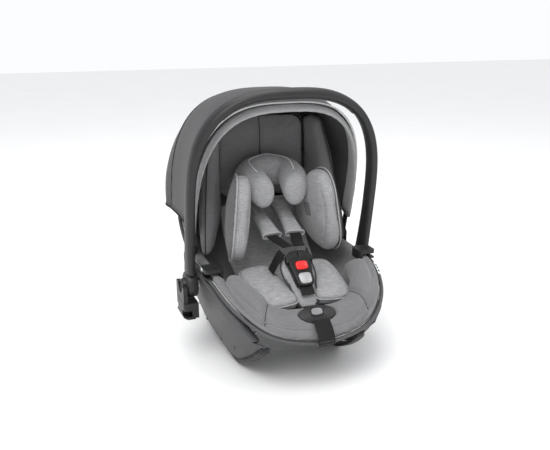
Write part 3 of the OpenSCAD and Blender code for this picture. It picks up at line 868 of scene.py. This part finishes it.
def handle():
    def body_section(t):
        """Squarish, with a shallow groove along the middle of the outside."""
        a = circle(40)
        u = HANDLE_THICK / 2 * signed_pow(np.cos(a), 0.72)
        v = HANDLE_WIDTH / 2 * signed_pow(np.sin(a), 0.72)
        flare = max(0, 1 - t / 0.26) ** 1.5
        u = u - np.where(u > 0, 0.9 * np.exp(-((np.abs(v) - 11.5) / 1.1) ** 2), 0)
        return list(zip(u, v * (1 + 0.4 * flare) + HANDLE_SET_BACK * flare))

    # The grip strip along the inside of the bow's top stands for the CAD grip. Its lighter grey is a painted
    # reflection on the handle's inner face.
    def reflection_strip_section(t):
        a = circle(20)
        u = -HANDLE_THICK / 2 - 0.9 + 1.9 * signed_pow(np.cos(a), 0.7)
        return list(zip(u, 8.2 * signed_pow(np.sin(a), 0.7)))

    bow = handle_bow("handle_bow", body_section, 0.05)
    dress(bow, HANDLE, "handle", "handle_frame")
    reflection_strip = handle_bow("handle_reflection_strip", reflection_strip_section, 0.7, count=50)
    dress(reflection_strip, GRIP_REFLECTION_GREY, "handle", "handle_grip")
    centre = HANDLE_PIVOT * (0, 1, 1)
    hub = lathe("handle_hub", [
        (197, 11.1), (197, 27), (198.6, 29), (216.5, 29), (219.4, 27.8), (221, 25), (221, 22.4),
        (220.3, 21.6), (220.3, 19.4), (221, 18.6), (221, 15.2), (220.2, 14.4), (212.5, 14.4),
        (212.5, 18.4), (199.6, 18.4), (199.6, 11.1)], centre)
    pair(hub, "handle_hub", HANDLE, "handle")
    button = lathe("handle_button", [
        (206, 11.4), (206, 17.6), (206.4, 18), (211.6, 18), (212, 17.6), (212, 14), (226.6, 14),
        (228.4, 13.2), (229, 11.6), (228.7, 9.8), (227.6, 8.6), (226.9, 5), (226.7, 0.3), (216.2, 0.3),
        (216.2, 11.4)], centre)
    pair(button, "handle_release", BLACK, "handle_button",
         "handle_button", bodies=True)


# ---- Canopy ----
CANOPY_ARCS = [
    (-74, 567, 195, 15, 290, 3.1), (-10, 587, 195, 60, 292, 3.1), (64, 592, 195, 120, 294, 3),
    (140, 574, 199, 182, 297, 3), (214, 528, 205, 214, 300, 2.8), (268, 458, 192, 238, 304, 2.6),
    (292, 384, 160, 262, 310, 2.4), (295, 330, 110, 283, 318, 2.2),
]


def canopy_point(t, u, depth=0.0):
    """A point of the canopy: t is 0 at the front edge, u is 0 at the left hem and 1 at the right."""
    crest_y, crest_z, half, hem_y, hem_z, square = curve(CANOPY_ARCS, t)
    out = np.array([crest_y - 60, crest_z - 300])
    crest = np.array([crest_y, crest_z]) - depth * out / np.linalg.norm(out)
    a = u * math.pi
    f = max(0, math.sin(a)) ** (2 / square)
    c = math.cos(a)
    return np.array([-(half - depth) * math.copysign(abs(c) ** (2 / square), c),
                     mix(hem_y, crest[0], f), mix(hem_z, crest[1], f)])


def canopy_line(t, depth):
    return np.array([canopy_point(t, u, depth) for u in np.linspace(0, 1, CANOPY_COLUMNS)])


def canopy_panel(name, t0, t1, rows, seams):
    """A stretched cloth panel that dips a little between its bows and puckers along its seams."""
    grid = []
    for t in np.linspace(t0, t1, rows):
        dip = 3.0 * math.sin(math.pi * (t - t0) / (t1 - t0))
        row = []
        for u in np.linspace(0, 1, CANOPY_COLUMNS):
            pucker = sum(0.7 * math.exp(-abs(t - s) / 0.018) * math.sin(u * 130 + 9 * math.sin(u * 17 + s))
                         for s in seams)
            row.append(canopy_point(t, u, 0.5 + dip * math.sin(math.pi * u) ** 0.5 + pucker))
        grid.append(row)
    grid = np.array(grid)
    cloth = add_mesh(name, grid.reshape(-1, 3), grid_faces(rows, CANOPY_COLUMNS, False))
    middle = cloth.data.vertices[len(cloth.data.vertices) // 2]
    if middle.normal.dot(middle.co - Vector((0, 0.06, 0.3))) < 0:
        cloth.data.flip_normals()
    m = cloth.modifiers.new("thickness", "SOLIDIFY")
    m.thickness, m.offset, m.material_offset = 1.6 * MM, -1, 1
    bake(cloth)
    return cloth, grid


def bend_canopy(obj, part):
    """Bakes the piece's placement into its mesh; front and rear pieces are treated alike."""
    if part == "front":
        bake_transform(obj)
    else:
        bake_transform(obj)


def canopy_piece(obj, look, part):
    dress(obj, look, None)
    bend_canopy(obj, part)


def canopy():
    spans = (("front", 0.0, CANOPY_SPLIT, 40, (CANOPY_SPLIT,)),
             ("rear", CANOPY_SPLIT, 1.0, 56, (CANOPY_SPLIT, 0.63, 0.98)))
    for part, t0, t1, rows, seams in spans:
        cloth, grid = canopy_panel(f"canopy_{part}_cloth", t0, t1, rows, seams)
        dress(cloth, CANOPY, None, f"canopy_{part}_panel")
        cloth.data.materials.append(CANOPY_LINING)
        bend_canopy(cloth, part)
    canopy_piece(tube("canopy_front_piping", canopy_line(0.002, -1.6), 1.7), PALE_PIPING, "front")
    canopy_piece(tube("canopy_seam_cord", canopy_line(CANOPY_SPLIT, -0.2), 1.3), DARK_PIPING, "front")
    for k, t in enumerate((CANOPY_SPLIT - 0.016, CANOPY_SPLIT + 0.016, 0.63, 0.965)):
        part = "front" if t < CANOPY_SPLIT else "rear"
        canopy_piece(stitches(f"canopy_stitches_{k + 1}", canopy_line(t, -0.35)), THREAD, part)
    canopy_piece(tube("canopy_rear_seam", canopy_line(0.645, -0.1), 1.2), PIPING, "rear")
    canopy_piece(tube("canopy_rear_binding", canopy_line(0.996, -0.6), 2.8), CANOPY_HEM, "rear")
    for side, u in (("left", 0.0), ("right", 1.0)):
        for part, t0, t1, _, _ in spans:
            hem = [canopy_point(t, u, 0.8) for t in np.linspace(t0, t1, 50)]
            canopy_piece(tube(f"canopy_hem_{part}_{side}", hem, 2.3), CANOPY_LINING, part)
    front_hem()


def in_bow_plane(points):
    """Points (across, along the carrier, up) of the front bow's own plane, put where it stands."""
    return turn(points, 0, CANOPY_LEAN) + CANOPY_PIVOT * (0, 1, 1)


def arch(a):
    """Shares across and up of the squarish arch of the front bow at angle a."""
    return (signed_pow(math.cos(a), 2 / CANOPY_SQUARE), max(0, math.sin(a)) ** (2 / CANOPY_SQUARE))


def front_hem():
    """The light padded casing round the front bow."""
    reach, half, up = 340, 188.5, CANOPY_HEM_Z - CANOPY_PIVOT[2]
    section = ring_curve([(-14, 0.5), (-11, -3), (0, -4.6), (14, -4.4), (25, -3.4), (27, -2), (25, -0.8),
                          (12, 1), (0, 2.4), (-9, 2.6)], 34)
    rings = []
    for a in np.linspace(0, math.pi, 150):
        c, s = arch(a)
        out = np.array([c, s]) / math.hypot(c, s)
        w, h = section.T
        h = np.where(h > 0, h * (1.6 + 0.8 * s**2), h) + 0.26 * s**2 * w + 0.3 * math.sin(a * 61)
        rings.append(np.column_stack([c * half + out[0] * h, w - 3, up + s * (reach - up) + out[1] * h]))
    hem = loft("canopy_front_hem", in_bow_plane(np.array(rings)))
    dress(hem, CANOPY_HEM, "front_bow")
    line = []
    for a in np.linspace(0.02, math.pi - 0.02, 160):
        c, s = arch(a)
        line.append((c * (half - 4.3), -3, up + s * (reach - 4.3 - up)))
    sewn = stitches("canopy_hem_stitches", in_bow_plane(np.array(line)))
    dress(sewn, THREAD, "front_bow")


# ---- Padded cover ----
def cover_section(phi):
    rim, r = rim_z(phi), plan_r(phi, 0, 0)
    front = max(0, -math.sin(phi)) ** 3
    foam_r = plan_r(phi, SIDE_FOAM, HEAD_FOAM)
    side = smooth_at(abs(math.degrees(phi) + 90), [(0, 0), (26, 0), (34, 1), (50, 1), (63, 0.2)])
    return [(r - 16 + 15 * front, rim + 3), (r - 25 + 7 * front, rim + 16 + 6 * front + 5 * side),
            (r - 36 - 8 * front, rim + 18 + 26 * front + 10 * side),
            (r - 68 - 6 * front, rim - 2 + 52 * front + 11 * side),
            (r - 70 - 2 * front, rim - 22 + 40 * front + 4 * side), (foam_r - 2, rim + 2),
            (r - 14, rim + 2)]


def cover_line(share):
    """A line along the cover, 2 degrees short of its ends: share counts round its section."""
    out, arc = [], COVER_HALF_ARC - 2
    for phi in np.radians(np.linspace(-90 - arc, -90 + arc, COVER_POINTS)):
        section = np.array(cover_section(phi))
        i = int(share)
        q = mix(section[i], section[i + 1], share - i)
        out.append(from_axis(q[0], phi, q[1]))
    return np.array(out)


def lower_cover():
    rings = []
    for phi in np.radians(np.linspace(-90 - COVER_HALF_ARC, -90 + COVER_HALF_ARC, 110)):
        section = ring_curve(cover_section(phi), 42)
        middle = section.mean(0)
        from_end = math.radians(COVER_HALF_ARC) - abs(phi + math.pi / 2)
        end = min(1, math.sqrt(from_end / math.radians(5) + 0.06))
        section = middle + (section - middle) * end
        rings.append([from_axis(r, phi, z) for r, z in section])
    cover = puff(loft("seat_cover_front", rings), 5.0, 3.0)
    for share, depth in ((1.0, 2.2), (0.02, 1.0)):
        groove(cover, cover_line(share), depth, 5)
    for side in (-1, 1):
        across = [(side * x, y, 270) for x, y in ((119, -252), (107, -232), (94, -208), (83, -188))]
        sunk = onto(cover, resample(across, 3), (0, 0, -1))
        groove(cover, sunk, 4.5, 6)
        dress(tube(f"seat_cover_seam_{'left' if side < 0 else 'right'}",
                   onto(cover, sunk + (0, 0, 30), (0, 0, -1), 0.1), 0.9), DARK_PIPING)
    co = coords(cover.data) / MM - ADJUSTER_AT
    local = turn(co, 0, -ADJUSTER_TILT)
    inside = ((local[:, 0] / 43) ** 2 + (local[:, 1] / 21.5) ** 2 < 1) & (local[:, 2] > -3.2)
    local[inside, 2] = -3.2
    set_points(cover.data, at_adjuster(local) * MM)
    dress(cover, COVER, "root", "lower_cover")
    seam = onto(cover, cover_line(1.0) + (0, 0, 60), (0, 0, -1), 0.2)
    dress(tube("seat_cover_piping", seam, 1.2), THREAD)
    edge = cover_line(0.02) * (1.004, 1.004, 1) + (0, 0, -1)
    dress(tube("seat_cover_binding", edge, 2.0), DARK_PIPING)


SIDE_WING_ROWS = [(158, 12, 228, 28, 11, 25), (141, 44, 300, 54, 18, 27), (136, 58, 370, 48, 19, 25),
                  (131, 68, 440, 40, 18, 22), (121, 76, 520, 27, 12, 18)]


def side_wing():
    """The fabric wall beside the head, from the rim to the canopy."""
    rings, front = [], []
    a = circle(48)
    for t in np.linspace(0, 1, 50):
        x, y, z, half_y, half_x, heading = curve(SIDE_WING_ROWS, t)
        end = min(1, math.sqrt(min(t, 1 - t) / 0.05 + 0.08))
        ring = np.column_stack([(half_x - 1) * end * signed_pow(np.cos(a), 0.7),
                                (half_y - 1) * end * signed_pow(np.sin(a), 0.7), np.zeros(48)])
        rings.append(turn(ring, 2, heading) + (x, y, z))
        front.append(turn(np.array([[0, -half_y * end, 0]]), 2, heading)[0] + (x, y, z))
    wing = puff(loft("side_bolster", rings), 5.0, 3.0)
    groove(wing, front[2:-2], 1.6, 4)
    pair(wing, "side_bolster", LINING, "root", "side_wing")
    pair(tube("bolster_piping", front[2:-2], 1.3), "bolster_piping", DARK_PIPING)


BACK_LINE = [(-192, 140), (-150, 138), (-90, 144), (-30, 170), (30, 216), (66, 262), (84, 318)]


def back_pad():
    rings, seams = [], {-1: [], 1: []}
    for t in np.linspace(0, 1, 60):
        p = curve(BACK_LINE, t)
        q = curve(BACK_LINE, min(1, t + 0.02)) - curve(BACK_LINE, max(0, t - 0.02))
        n = np.array([-q[1], q[0]]) / np.linalg.norm(q)
        w = mix(62, 100, min(1, 1.6 * t))
        section = ring_curve([(-w, -10), (-w + 6, -4), (-w / 2, -0.5), (0, 0), (w / 2, -0.5),
                              (w - 6, -4), (w, -10), (w - 8, -14), (0, -14), (8 - w, -14)], 60)
        rings.append([(u, p[0] + n[0] * v, p[1] + n[1] * v) for u, v in section])
        for side in (-1, 1):
            seams[side].append((side * w * 0.62, p[0] - n[0], p[1] - n[1]))
    cushion = bake(subdivide(loft("seat_back_pad", rings)))
    for side in (-1, 1):
        groove(cushion, seams[side], 2, 4)
    dress(cushion, INSERT, "root", "back_pad")


# ---- Newborn insert ----
def paint(obj, looks, pick):
    """Several looks on one piece: pick says which, from each face's middle in millimetres."""
    set_looks(obj, *looks)
    middles = np.empty(len(obj.data.polygons) * 3)
    obj.data.polygons.foreach_get("center", middles)
    obj.data.polygons.foreach_set("material_index", pick(middles.reshape(-1, 3) / MM).astype(int))
    obj.data.update()


def insert_wing():
    centre = np.array([95, -12, 316])

    def place(points):
        return turn(turn(turn(points, 0, -8), 1, -6), 2, 11) + centre

    def local(points):
        return turn(turn(turn(points - centre, 2, -11), 1, 6), 0, 8)

    def stand(levels):
        return place(np.stack([levels[..., 2], levels[..., 0], levels[..., 1]], axis=-1))

    def upright(x, ring):
        return place(np.column_stack([np.full(len(ring), x), ring]))

    outline = [(-72, 8), (-71, 56), (-54, 87), (-18, 92), (16, 70), (46, 42), (70, 12), (66, -22),
               (40, -58), (4, -84), (-38, -93), (-66, -64)]
    wing = puff(pad("insert_wing", outline, 45, stand, 0.24), 4.5, 5.0)
    rim = ring_curve(outline, 160)
    groove(wing, upright(13.0, rim * 0.995), 1.6, 3.5)
    line = ring_curve([(-60, 50), (-64, 10), (-56, -40), (-40, -74), (-44, -40), (-52, 10)], 120)[:70]
    sewn = onto(wing, upright(-30.0, line), place(np.array([[1, 0, 0]]))[0] - centre, 0.3)
    groove(wing, sewn, 1.3, 3.5)
    twins = pair(wing, "insert_wing_pad", INSERT, "root", "insert_wing")
    for twin, side in zip(twins, (-1, 1)):
        paint(twin, (INSERT, INSERT_DARK), lambda m, s=side: local(m * (s, 1, 1))[:, 0] > 13.5)
    loop = closed(upright(12.5, rim * 1.02))
    pair(tube("insert_wing_piping", loop, 1.4), "insert_wing_piping", PIPING)
    pair(stitches("insert_wing_stitches", sewn), "insert_wing_stitches", THREAD)
    inwards = place(np.array([[1.0, 0, 0]]))[0] - centre
    depth = local(onto(twins[1], place(np.array([[-60.0, -6, 6]])), inwards, 0.1))[0, 0]
    patch = slab("insert_patch", rounded_outline(11, 16, 1.5, 48), -0.6, 0.5, 0.3, lambda p: place(
        np.stack([depth - p[..., 2], p[..., 0] - 6, p[..., 1] + 6], axis=-1)))
    dress(patch, INSERT_DARK)


HEAD_ROUTE = [(34, -38, 364, 13, 18), (37, -26, 369, 27, 35), (47, 16, 389, 34, 31),
              (43, 52, 397, 31, 34), (0, 68, 404, 24, 37)]


def head_section(share):
    """The horseshoe's middle, half-width, half-height and heading: share runs from -1 to 1."""
    x, _, _, half_x, half_z = curve(HEAD_ROUTE, 1 - abs(share))
    _, y, z, _, _ = curve(HEAD_ROUTE, max(0, 1 - math.hypot(share, 0.12)))
    heading = math.radians(90 * (1 + math.copysign(smooth_at(abs(share), [(0, 0), (0.5, 1), (1, 1)]), share)))
    return np.array([math.copysign(x, share), y, z]), half_x, half_z, heading


def head_cushion():
    b = circle(36)
    rings, seam = [], []
    for share in np.linspace(-1, 1, 96):
        middle, half_x, half_z, heading = head_section(share)
        across = np.cos(b) * half_x
        rings.append(np.column_stack([middle[0] - across * math.cos(heading),
                                      middle[1] + across * math.sin(heading),
                                      middle[2] + half_z * np.sin(b)]))
        if abs(share) < 0.62:
            seam.append(middle + (0, 0, half_z))
    ring = puff(loft("head_horseshoe", rings), 4.5, 4.0)
    groove(ring, seam, 1.4, 4)
    dress(ring, INSERT, "headrest", "head_cushion")
    lifted = onto(ring, np.array(seam) + (0, 0, 40), (0, 0, -1), 0.4)
    dress(tube("head_horseshoe_piping", lifted, 1.3), PALE_PIPING, "headrest")


def headrest():
    def place(levels):
        points = turn(levels, 0, 90) + (0, 109, 425)
        points[..., 1] -= 14 * (points[..., 0] / 108) ** 2
        return points

    outline = [(-108, 0), (-107, 66), (-88, 96), (0, 100), (88, 96), (107, 66), (108, 0), (105, -66),
               (84, -94), (0, -99), (-84, -94), (-105, -66)]
    cushion = puff(pad("headrest_cushion", outline, 20, place, 0.4), 5.0, 3.0)
    seam = np.array([(0, 98, z) for z in np.linspace(332, 519, 60)])
    groove(cushion, seam, 4, 8)
    seam = onto(cushion, seam - (0, 60, 0), (0, 1, 0), 0.1)
    dress(tube("headrest_seam", seam, 1.3), DARK_PIPING, "headrest")
    dress(cushion, LINING, "headrest", "headrest_pad")
    ring = ring_curve(outline, 160)
    edge = place(np.column_stack([closed(ring), np.zeros(161)]))
    dress(tube("headrest_pad_piping", edge, 1.4), DARK_PIPING, "headrest")


def thigh_cushion():
    def place(levels):
        return turn(turn(turn(levels, 0, 11), 1, 2), 2, -4) + (68, -122, 181)

    outline = [(-40, -74), (-16, -82), (18, -80), (38, -66), (42, -12), (40, 40), (28, 76), (-4, 82),
               (-34, 72), (-42, 26), (-43, -30)]
    cushion = puff(pad("thigh_cushion", outline, 45, place, 0.35), 4.5, 5.0)
    rim = ring_curve(outline, 140)
    gusset = place(np.column_stack([rim * 1.01, np.full(140, 4.0)]))
    groove(cushion, gusset, 1.4, 3.5)
    pair(cushion, "thigh_pad", INSERT, "root", "thigh_cushion")
    pair(tube("thigh_pad_piping", closed(gusset), 1.4), "thigh_pad_piping", PIPING)


# ---- Harness ----
def shoulder_harness():
    route = [(13, -112, 266), (18, -88, 268), (27.4, -55, 275.4), (31, 14, 299), (34.6, 83, 322.6),
             (36, 100, 332)]
    left, right = pair(strap("shoulder_strap", route, WEBBING_WIDTH - 10, WEBBING_THICK),
                       "shoulder_webbing", WEBBING, None, "shoulder_strap")
    hips = [(28, -116, 256), (40, -112, 236), (50, -106, 212)]
    hip_left, hip_right = pair(strap("hip_strap", hips, 22, WEBBING_THICK, (0, 0.7, 0.7), 40),
                               "hip_webbing", WEBBING, None, "hip_strap")
    for side, upper, lower in (("left", left, hip_left), ("right", right, hip_right)):
        blend_mm(upper)
        blend_mm(lower)


def shoulder_pad():
    def place(points):
        return turn(turn(points, 2, -3), 0, 19) + (31, 14, 299)

    a = circle(40)
    rings = []
    for y in np.linspace(-72, 72, 64):
        end = min(1, (72.6 - abs(y)) / 6)
        full = 0.78 + 0.22 * math.sqrt(max(0, end))
        folds = 1.2 * math.sin(y * 0.42) * max(0, (20 - y) / 92) + 0.5 * math.sin(y * 0.19 + 1)
        u = 22 * signed_pow(np.cos(a), 0.5)
        w = (6.6 + folds * 0.6) * full * signed_pow(np.sin(a), 0.75)
        rings.append(np.column_stack([u * (0.97 + 0.03 * end), np.full(40, y), w]))
    sleeve = puff(loft("shoulder_pad", place(np.array(rings))), 4.0, 3.5)
    twins = pair(sleeve, "shoulder_sleeve", INSERT, None, "shoulder_pad")
    ends = []
    for y in (-71.5, 71.5):
        ring = np.column_stack([22.2 * signed_pow(np.cos(a), 0.5), np.full(40, y + 0.0),
                                7.2 * signed_pow(np.sin(a), 0.75)])
        ends.append(pair(tube("sleeve_end", place(closed(ring)), 1.7),
                         f"sleeve_end_{len(ends) + 1}", PIPING, None))
    side_seam = place(np.column_stack([np.full(30, -21.8), np.linspace(-68, 68, 30), np.zeros(30)]))
    side = pair(stitches("sleeve_stitches", side_seam), "sleeve_stitches", THREAD, None)
    for group in (twins, *ends, side):
        for obj, name in zip(group, ("left", "right")):
            blend_mm(obj)


def rounded_outline(half_x, half_y, radius, count=64, taper=0.0):
    """A rounded rectangle, narrower towards -y by taper."""
    a = circle(count)
    cx, cy = np.cos(a), np.sin(a)
    power = 2 / (2 + 5 * (1 - radius / min(half_x, half_y)))
    x, y = half_x * signed_pow(cx, power), half_y * signed_pow(cy, power)
    return np.column_stack([x * (1 - taper * (0.5 - y / (2 * half_y))), y])


def slab(name, outline, low, high, edge, place, dish=0.0):
    """A rounded plate from low to high: its edges are rounded by edge and its top dished."""
    centre = outline.mean(0)
    reach = np.linalg.norm(outline - centre, axis=1).max()
    levels = []
    for z, way in ((low, -1), (high, 1)):
        steps = [(inset, z - way * edge + way * edge * math.sin(b))
                 for b in np.linspace(0, math.pi / 2, 5) for inset in [edge * (1 - math.cos(b))]]
        levels += steps[::-1] if way < 0 else steps
    loops = [np.column_stack([centre + (outline - centre) * (1 - inset / reach), np.full(len(outline), z)])
             for inset, z in levels]
    for share in np.linspace(0.9, 0.08, SLAB_RINGS):
        inner = centre + (outline - centre) * (1 - edge / reach) * share
        loops.append(np.column_stack([inner, np.full(len(outline), high - dish * (1 - share**2))]))
    return loft(name, place(np.array(loops)))


def buckle():
    body = ring_curve([(-25, 18), (-24.5, 27), (-20, 33), (0, 35), (20, 33), (24.5, 27), (25, 18),
                       (22, 0), (19.5, -20), (16, -31), (0, -34), (-16, -31), (-19.5, -20), (-22, 0)], 96)
    housing = slab("buckle_body", body, -21, -2.2, 3.2, at_buckle)
    dress(housing, BLACK, "root", "buckle_housing")
    frame_ring = rounded_outline(15.6, 11.8, 7, 72)
    collar_line = np.column_stack([closed(frame_ring) + (0, 12), np.full(73, -2.0)])
    collar = tube("buckle_collar", at_buckle(collar_line), 1.4)
    dress(collar, BLACK)
    button = slab("buckle_press", rounded_outline(13.2, 9.8, 5.5), -4.5, 1.9, 1.6,
                  lambda p: at_buckle(p + (0, 12, 0)), 0.9)
    dress(button, RED, "buckle_button", "buckle_button")
    cover = slab("buckle_cover", rounded_outline(14.4, 12.6, 8, taper=0.12), -4, 1.2, 2.4,
                 lambda p: at_buckle(p + (0, -18, 0)), -1.6)
    dress(cover, SILVER, "root", "buckle_plate")
    shoulders = ring_curve([(1.2, 30), (12, 29.5), (21, 26.5), (27, 21.5), (30, 24), (29.5, 33), (25, 42),
                            (16, 47.5), (5, 49), (1.2, 48.5)], 80)
    tongue = slab("tongue_shoulder", shoulders, -15.5, -1.0, 2.6, at_buckle)
    pair(tongue, "tongue_shoulder", BLACK, "tongue", "tongue", bodies=True)
    for k, (x, y0, y1) in enumerate(((9, 34.5, 44.5), (15, 33.5, 43.5), (21, 30.5, 40))):
        rib = tube(f"tongue_rib_{k}", at_buckle([(x, y0, -1.2), (x - 0.6, y1, -1.2)]), 0.9, 8)
        pair(rib, f"tongue_rib_{k + 1}", BLACK, "tongue", bodies=True)
    tab = strap("crotch_strap", at_buckle([(0, -52, -13), (0, -46, -12), (0, -38, -12), (0, -33, -12)]),
                30, 2, steps=16)
    dress(tab, WEBBING, "root", "crotch_strap")


def buckle_pad():
    outline = [(-37, 20), (-30, 38), (-16, 45), (0, 46), (16, 45), (30, 38), (37, 20), (37, -4),
               (31, -24), (27, -48), (22, -72), (0, -80), (-22, -72), (-27, -48), (-31, -24), (-37, -4)]

    def place(levels):
        return at_buckle(levels + (0, 4, -29))

    cushion = puff(pad("crotch_cushion", outline, 10.5, place, 0.5), 4.0, 3.0)
    dress(cushion, INSERT, "root", "buckle_pad")
    ring = closed(ring_curve(outline, 140))
    dress(tube("buckle_pad_piping", place(np.column_stack([ring, np.full(141, 1.0)])), 1.5),
          DARK_PIPING)


def adjuster():
    oval = rounded_outline(40.4, 19.7, 19.7, 96)
    plate = slab("adjuster_plate_oval", oval, -2.4, 2.5, 1.5, at_adjuster)
    dress(plate, RINGED, "root", "adjuster_plate")
    collar = rounded_outline(14, 9.8, 7, 64)
    ring = np.column_stack([closed(collar) + (0, 4), np.full(65, 2.6)])
    dress(tube("adjuster_collar", at_adjuster(ring), 1.0), BLACK)
    press = slab("adjuster_press", rounded_outline(12, 8, 6.5), 1.4, 4.9, 1.2,
                 lambda p: at_adjuster(p + (0, 4, 0)), 0.8)
    dress(press, GREY_BUTTON, "adjuster_button", "adjuster_button")
    route = [(0, -262, 156), (0, -276, 146), (0, -290, 130), (0, -294, 112)]
    dress(strap("pull_webbing", route, WEBBING_WIDTH, WEBBING_THICK, steps=50), WEBBING,
          "root", "pull_strap")
    fold = [(0, -291.6, 126), (0, -292.8, 119), (0, -292.3, 112.5)]
    dress(strap("pull_webbing_fold", fold, WEBBING_WIDTH - 0.6, 1.6, steps=16), WEBBING)
    for k, (y, z) in enumerate(((-291.9, 121), (-292.6, 115))):
        line = np.array([(x, y - 2.6, z) for x in (-15, 15)])
        dress(stitches(f"pull_stitches_{k + 1}", line), THREAD)


def rim_label():
    """A blank tag folded over the shell's rim: a pale strip with three dark bars."""
    radius = 3.9

    def place(points):
        out = []
        for across, along, up in np.asarray(points, float).reshape(-1, 3):
            phi, fold = TAG_HEADING + along / SHELL_HALF_WIDTH, TAG_FOLD + across / radius
            r = plan_r(phi, 0, 0) - 0.4 + (radius + up) * math.sin(fold)
            out.append(from_axis(r, phi, rim_z(phi) + (radius + up) * math.cos(fold)))
        return np.array(out).reshape(np.shape(points))

    strip = slab("rim_tag", rounded_outline(3, 16.8, 1.2, 48), 0.1, 0.7, 0.2, place)
    dress(strip, LABEL, "root", "rim_label")
    for k, y in enumerate((-9, -1, 7)):
        bar = slab(f"rim_tag_bar_{k + 1}", rounded_outline(1.9, 2.4, 0.8, 24), 0.5, 0.95, 0.15,
                   lambda p, y=y: place(p + (0, y, 0)))
        dress(bar, BLACK)


# ---- CAD pieces that stay ----
def both(*names):
    return [f"{name}_{side}" for name in names for side in ("left", "right")]


def keep_cad():
    looks = (
        (FOAM, ["foam_liner"]),
        (BLACK, ["headrest_shell", "canopy_front_bow", "canopy_rear_bow", "shell_screws",
                 *both("belt_guide", "stroller_clip", "canopy_mount")]),
        (STEEL, ["base_bar_front", "base_bar_rear", "headrest_guide_rods", "harness_yoke",
                 "harness_lock", *both("handle_pivot", "button_spring")]),
    )
    edges = {"headrest_shell": 1.0, "harness_lock": 0.8, "harness_yoke": 0.6, "shell_screws": 0.3,
             **dict.fromkeys(both("belt_guide", "stroller_clip"), 1.2)}
    for look, nodes in looks:
        for node in nodes:
            set_looks(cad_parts[node], look)
    for node, width in edges.items():
        bevel(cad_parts[node], width)


def guide_details():
    """A small blank marker on the outside of each belt guide."""
    marker = slab("belt_marker", rounded_outline(3.2, 6, 1.4, 32), -0.3, 0.6, 0.25,
                  lambda p: turn(p, 1, 90) + (198, -86, 230))
    pair(marker, "belt_marker", LABEL)


# ---- Camera, light and floor ----
def face(obj, target):
    obj.rotation_euler = (Vector(target) - obj.location).to_track_quat("-Z", "Y").to_euler()


def stage():
    camera = linked("camera", bpy.data.cameras.new("camera"))
    camera.location = (-0.5493, -1.4664, 0.7411)
    face(camera, (0, -0.072, 0.280))
    camera.data.sensor_width = 36
    camera.data.lens = 46.6
    camera.data.shift_x, camera.data.shift_y = -0.0211, 0.0178
    camera.data.clip_start = 0.01
    scene.camera = camera
    corners = [(x * FLOOR_REACH, y * FLOOR_REACH, 0) for x, y in ((-1, -1), (1, -1), (1, 1), (-1, 1))]
    floor = add_mesh("floor", corners, [(0, 1, 2, 3)])
    g = Graph("floor_pale", 0.7)
    g.colour(g.shade((0.93, 0.93, 0.93), g.noise(3, 2), 0.99, 1.01))
    floor.data.materials.append(g.material)
    lights = (((-1.2, -1.5, 2.6), 1.5, 38), ((1.9, -1.3, 1.7), 1.4, 12), ((0.1, 1.1, 2.7), 1.8, 20),
              ((-0.3, -2.4, 0.9), 1.2, 5))
    for k, (where, size, watts) in enumerate(lights):
        light = bpy.data.lights.new(f"softbox_{k + 1}", "AREA")
        light.size, light.energy = size, watts
        obj = linked(light.name, light)
        obj.location = where
        face(obj, (0, 0, 0.3))
    world = bpy.data.worlds.new("studio")
    world.use_nodes = True
    backdrop = world.node_tree.nodes["Background"]
    backdrop.inputs[0].default_value = (0.97, 0.98, 1, 1)
    seen = world.node_tree.nodes.new("ShaderNodeLightPath").outputs["Is Camera Ray"]
    strength = world.node_tree.nodes.new("ShaderNodeMapRange")
    strength.inputs["To Min"].default_value, strength.inputs["To Max"].default_value = 0.6, 1.0
    world.node_tree.links.new(seen, strength.inputs["Value"])
    world.node_tree.links.new(strength.outputs["Result"], backdrop.inputs[1])
    scene.world = world
    sun = bpy.data.lights.new("wide_softbox", "SUN")
    sun.energy, sun.angle = 1.3, math.radians(60)
    linked(sun.name, sun).rotation_euler = (math.radians(22), math.radians(-18), 0)
    scene.view_settings.view_transform = "Standard"


stage()
keep_cad()
seat_shell()
seat_lining()
side_panel()
rocker_rail()
handle()
canopy()
lower_cover()
side_wing()
back_pad()
insert_wing()
head_cushion()
headrest()
thigh_cushion()
buckle_pad()
shoulder_harness()
shoulder_pad()
buckle()
adjuster()
rim_label()
guide_details()
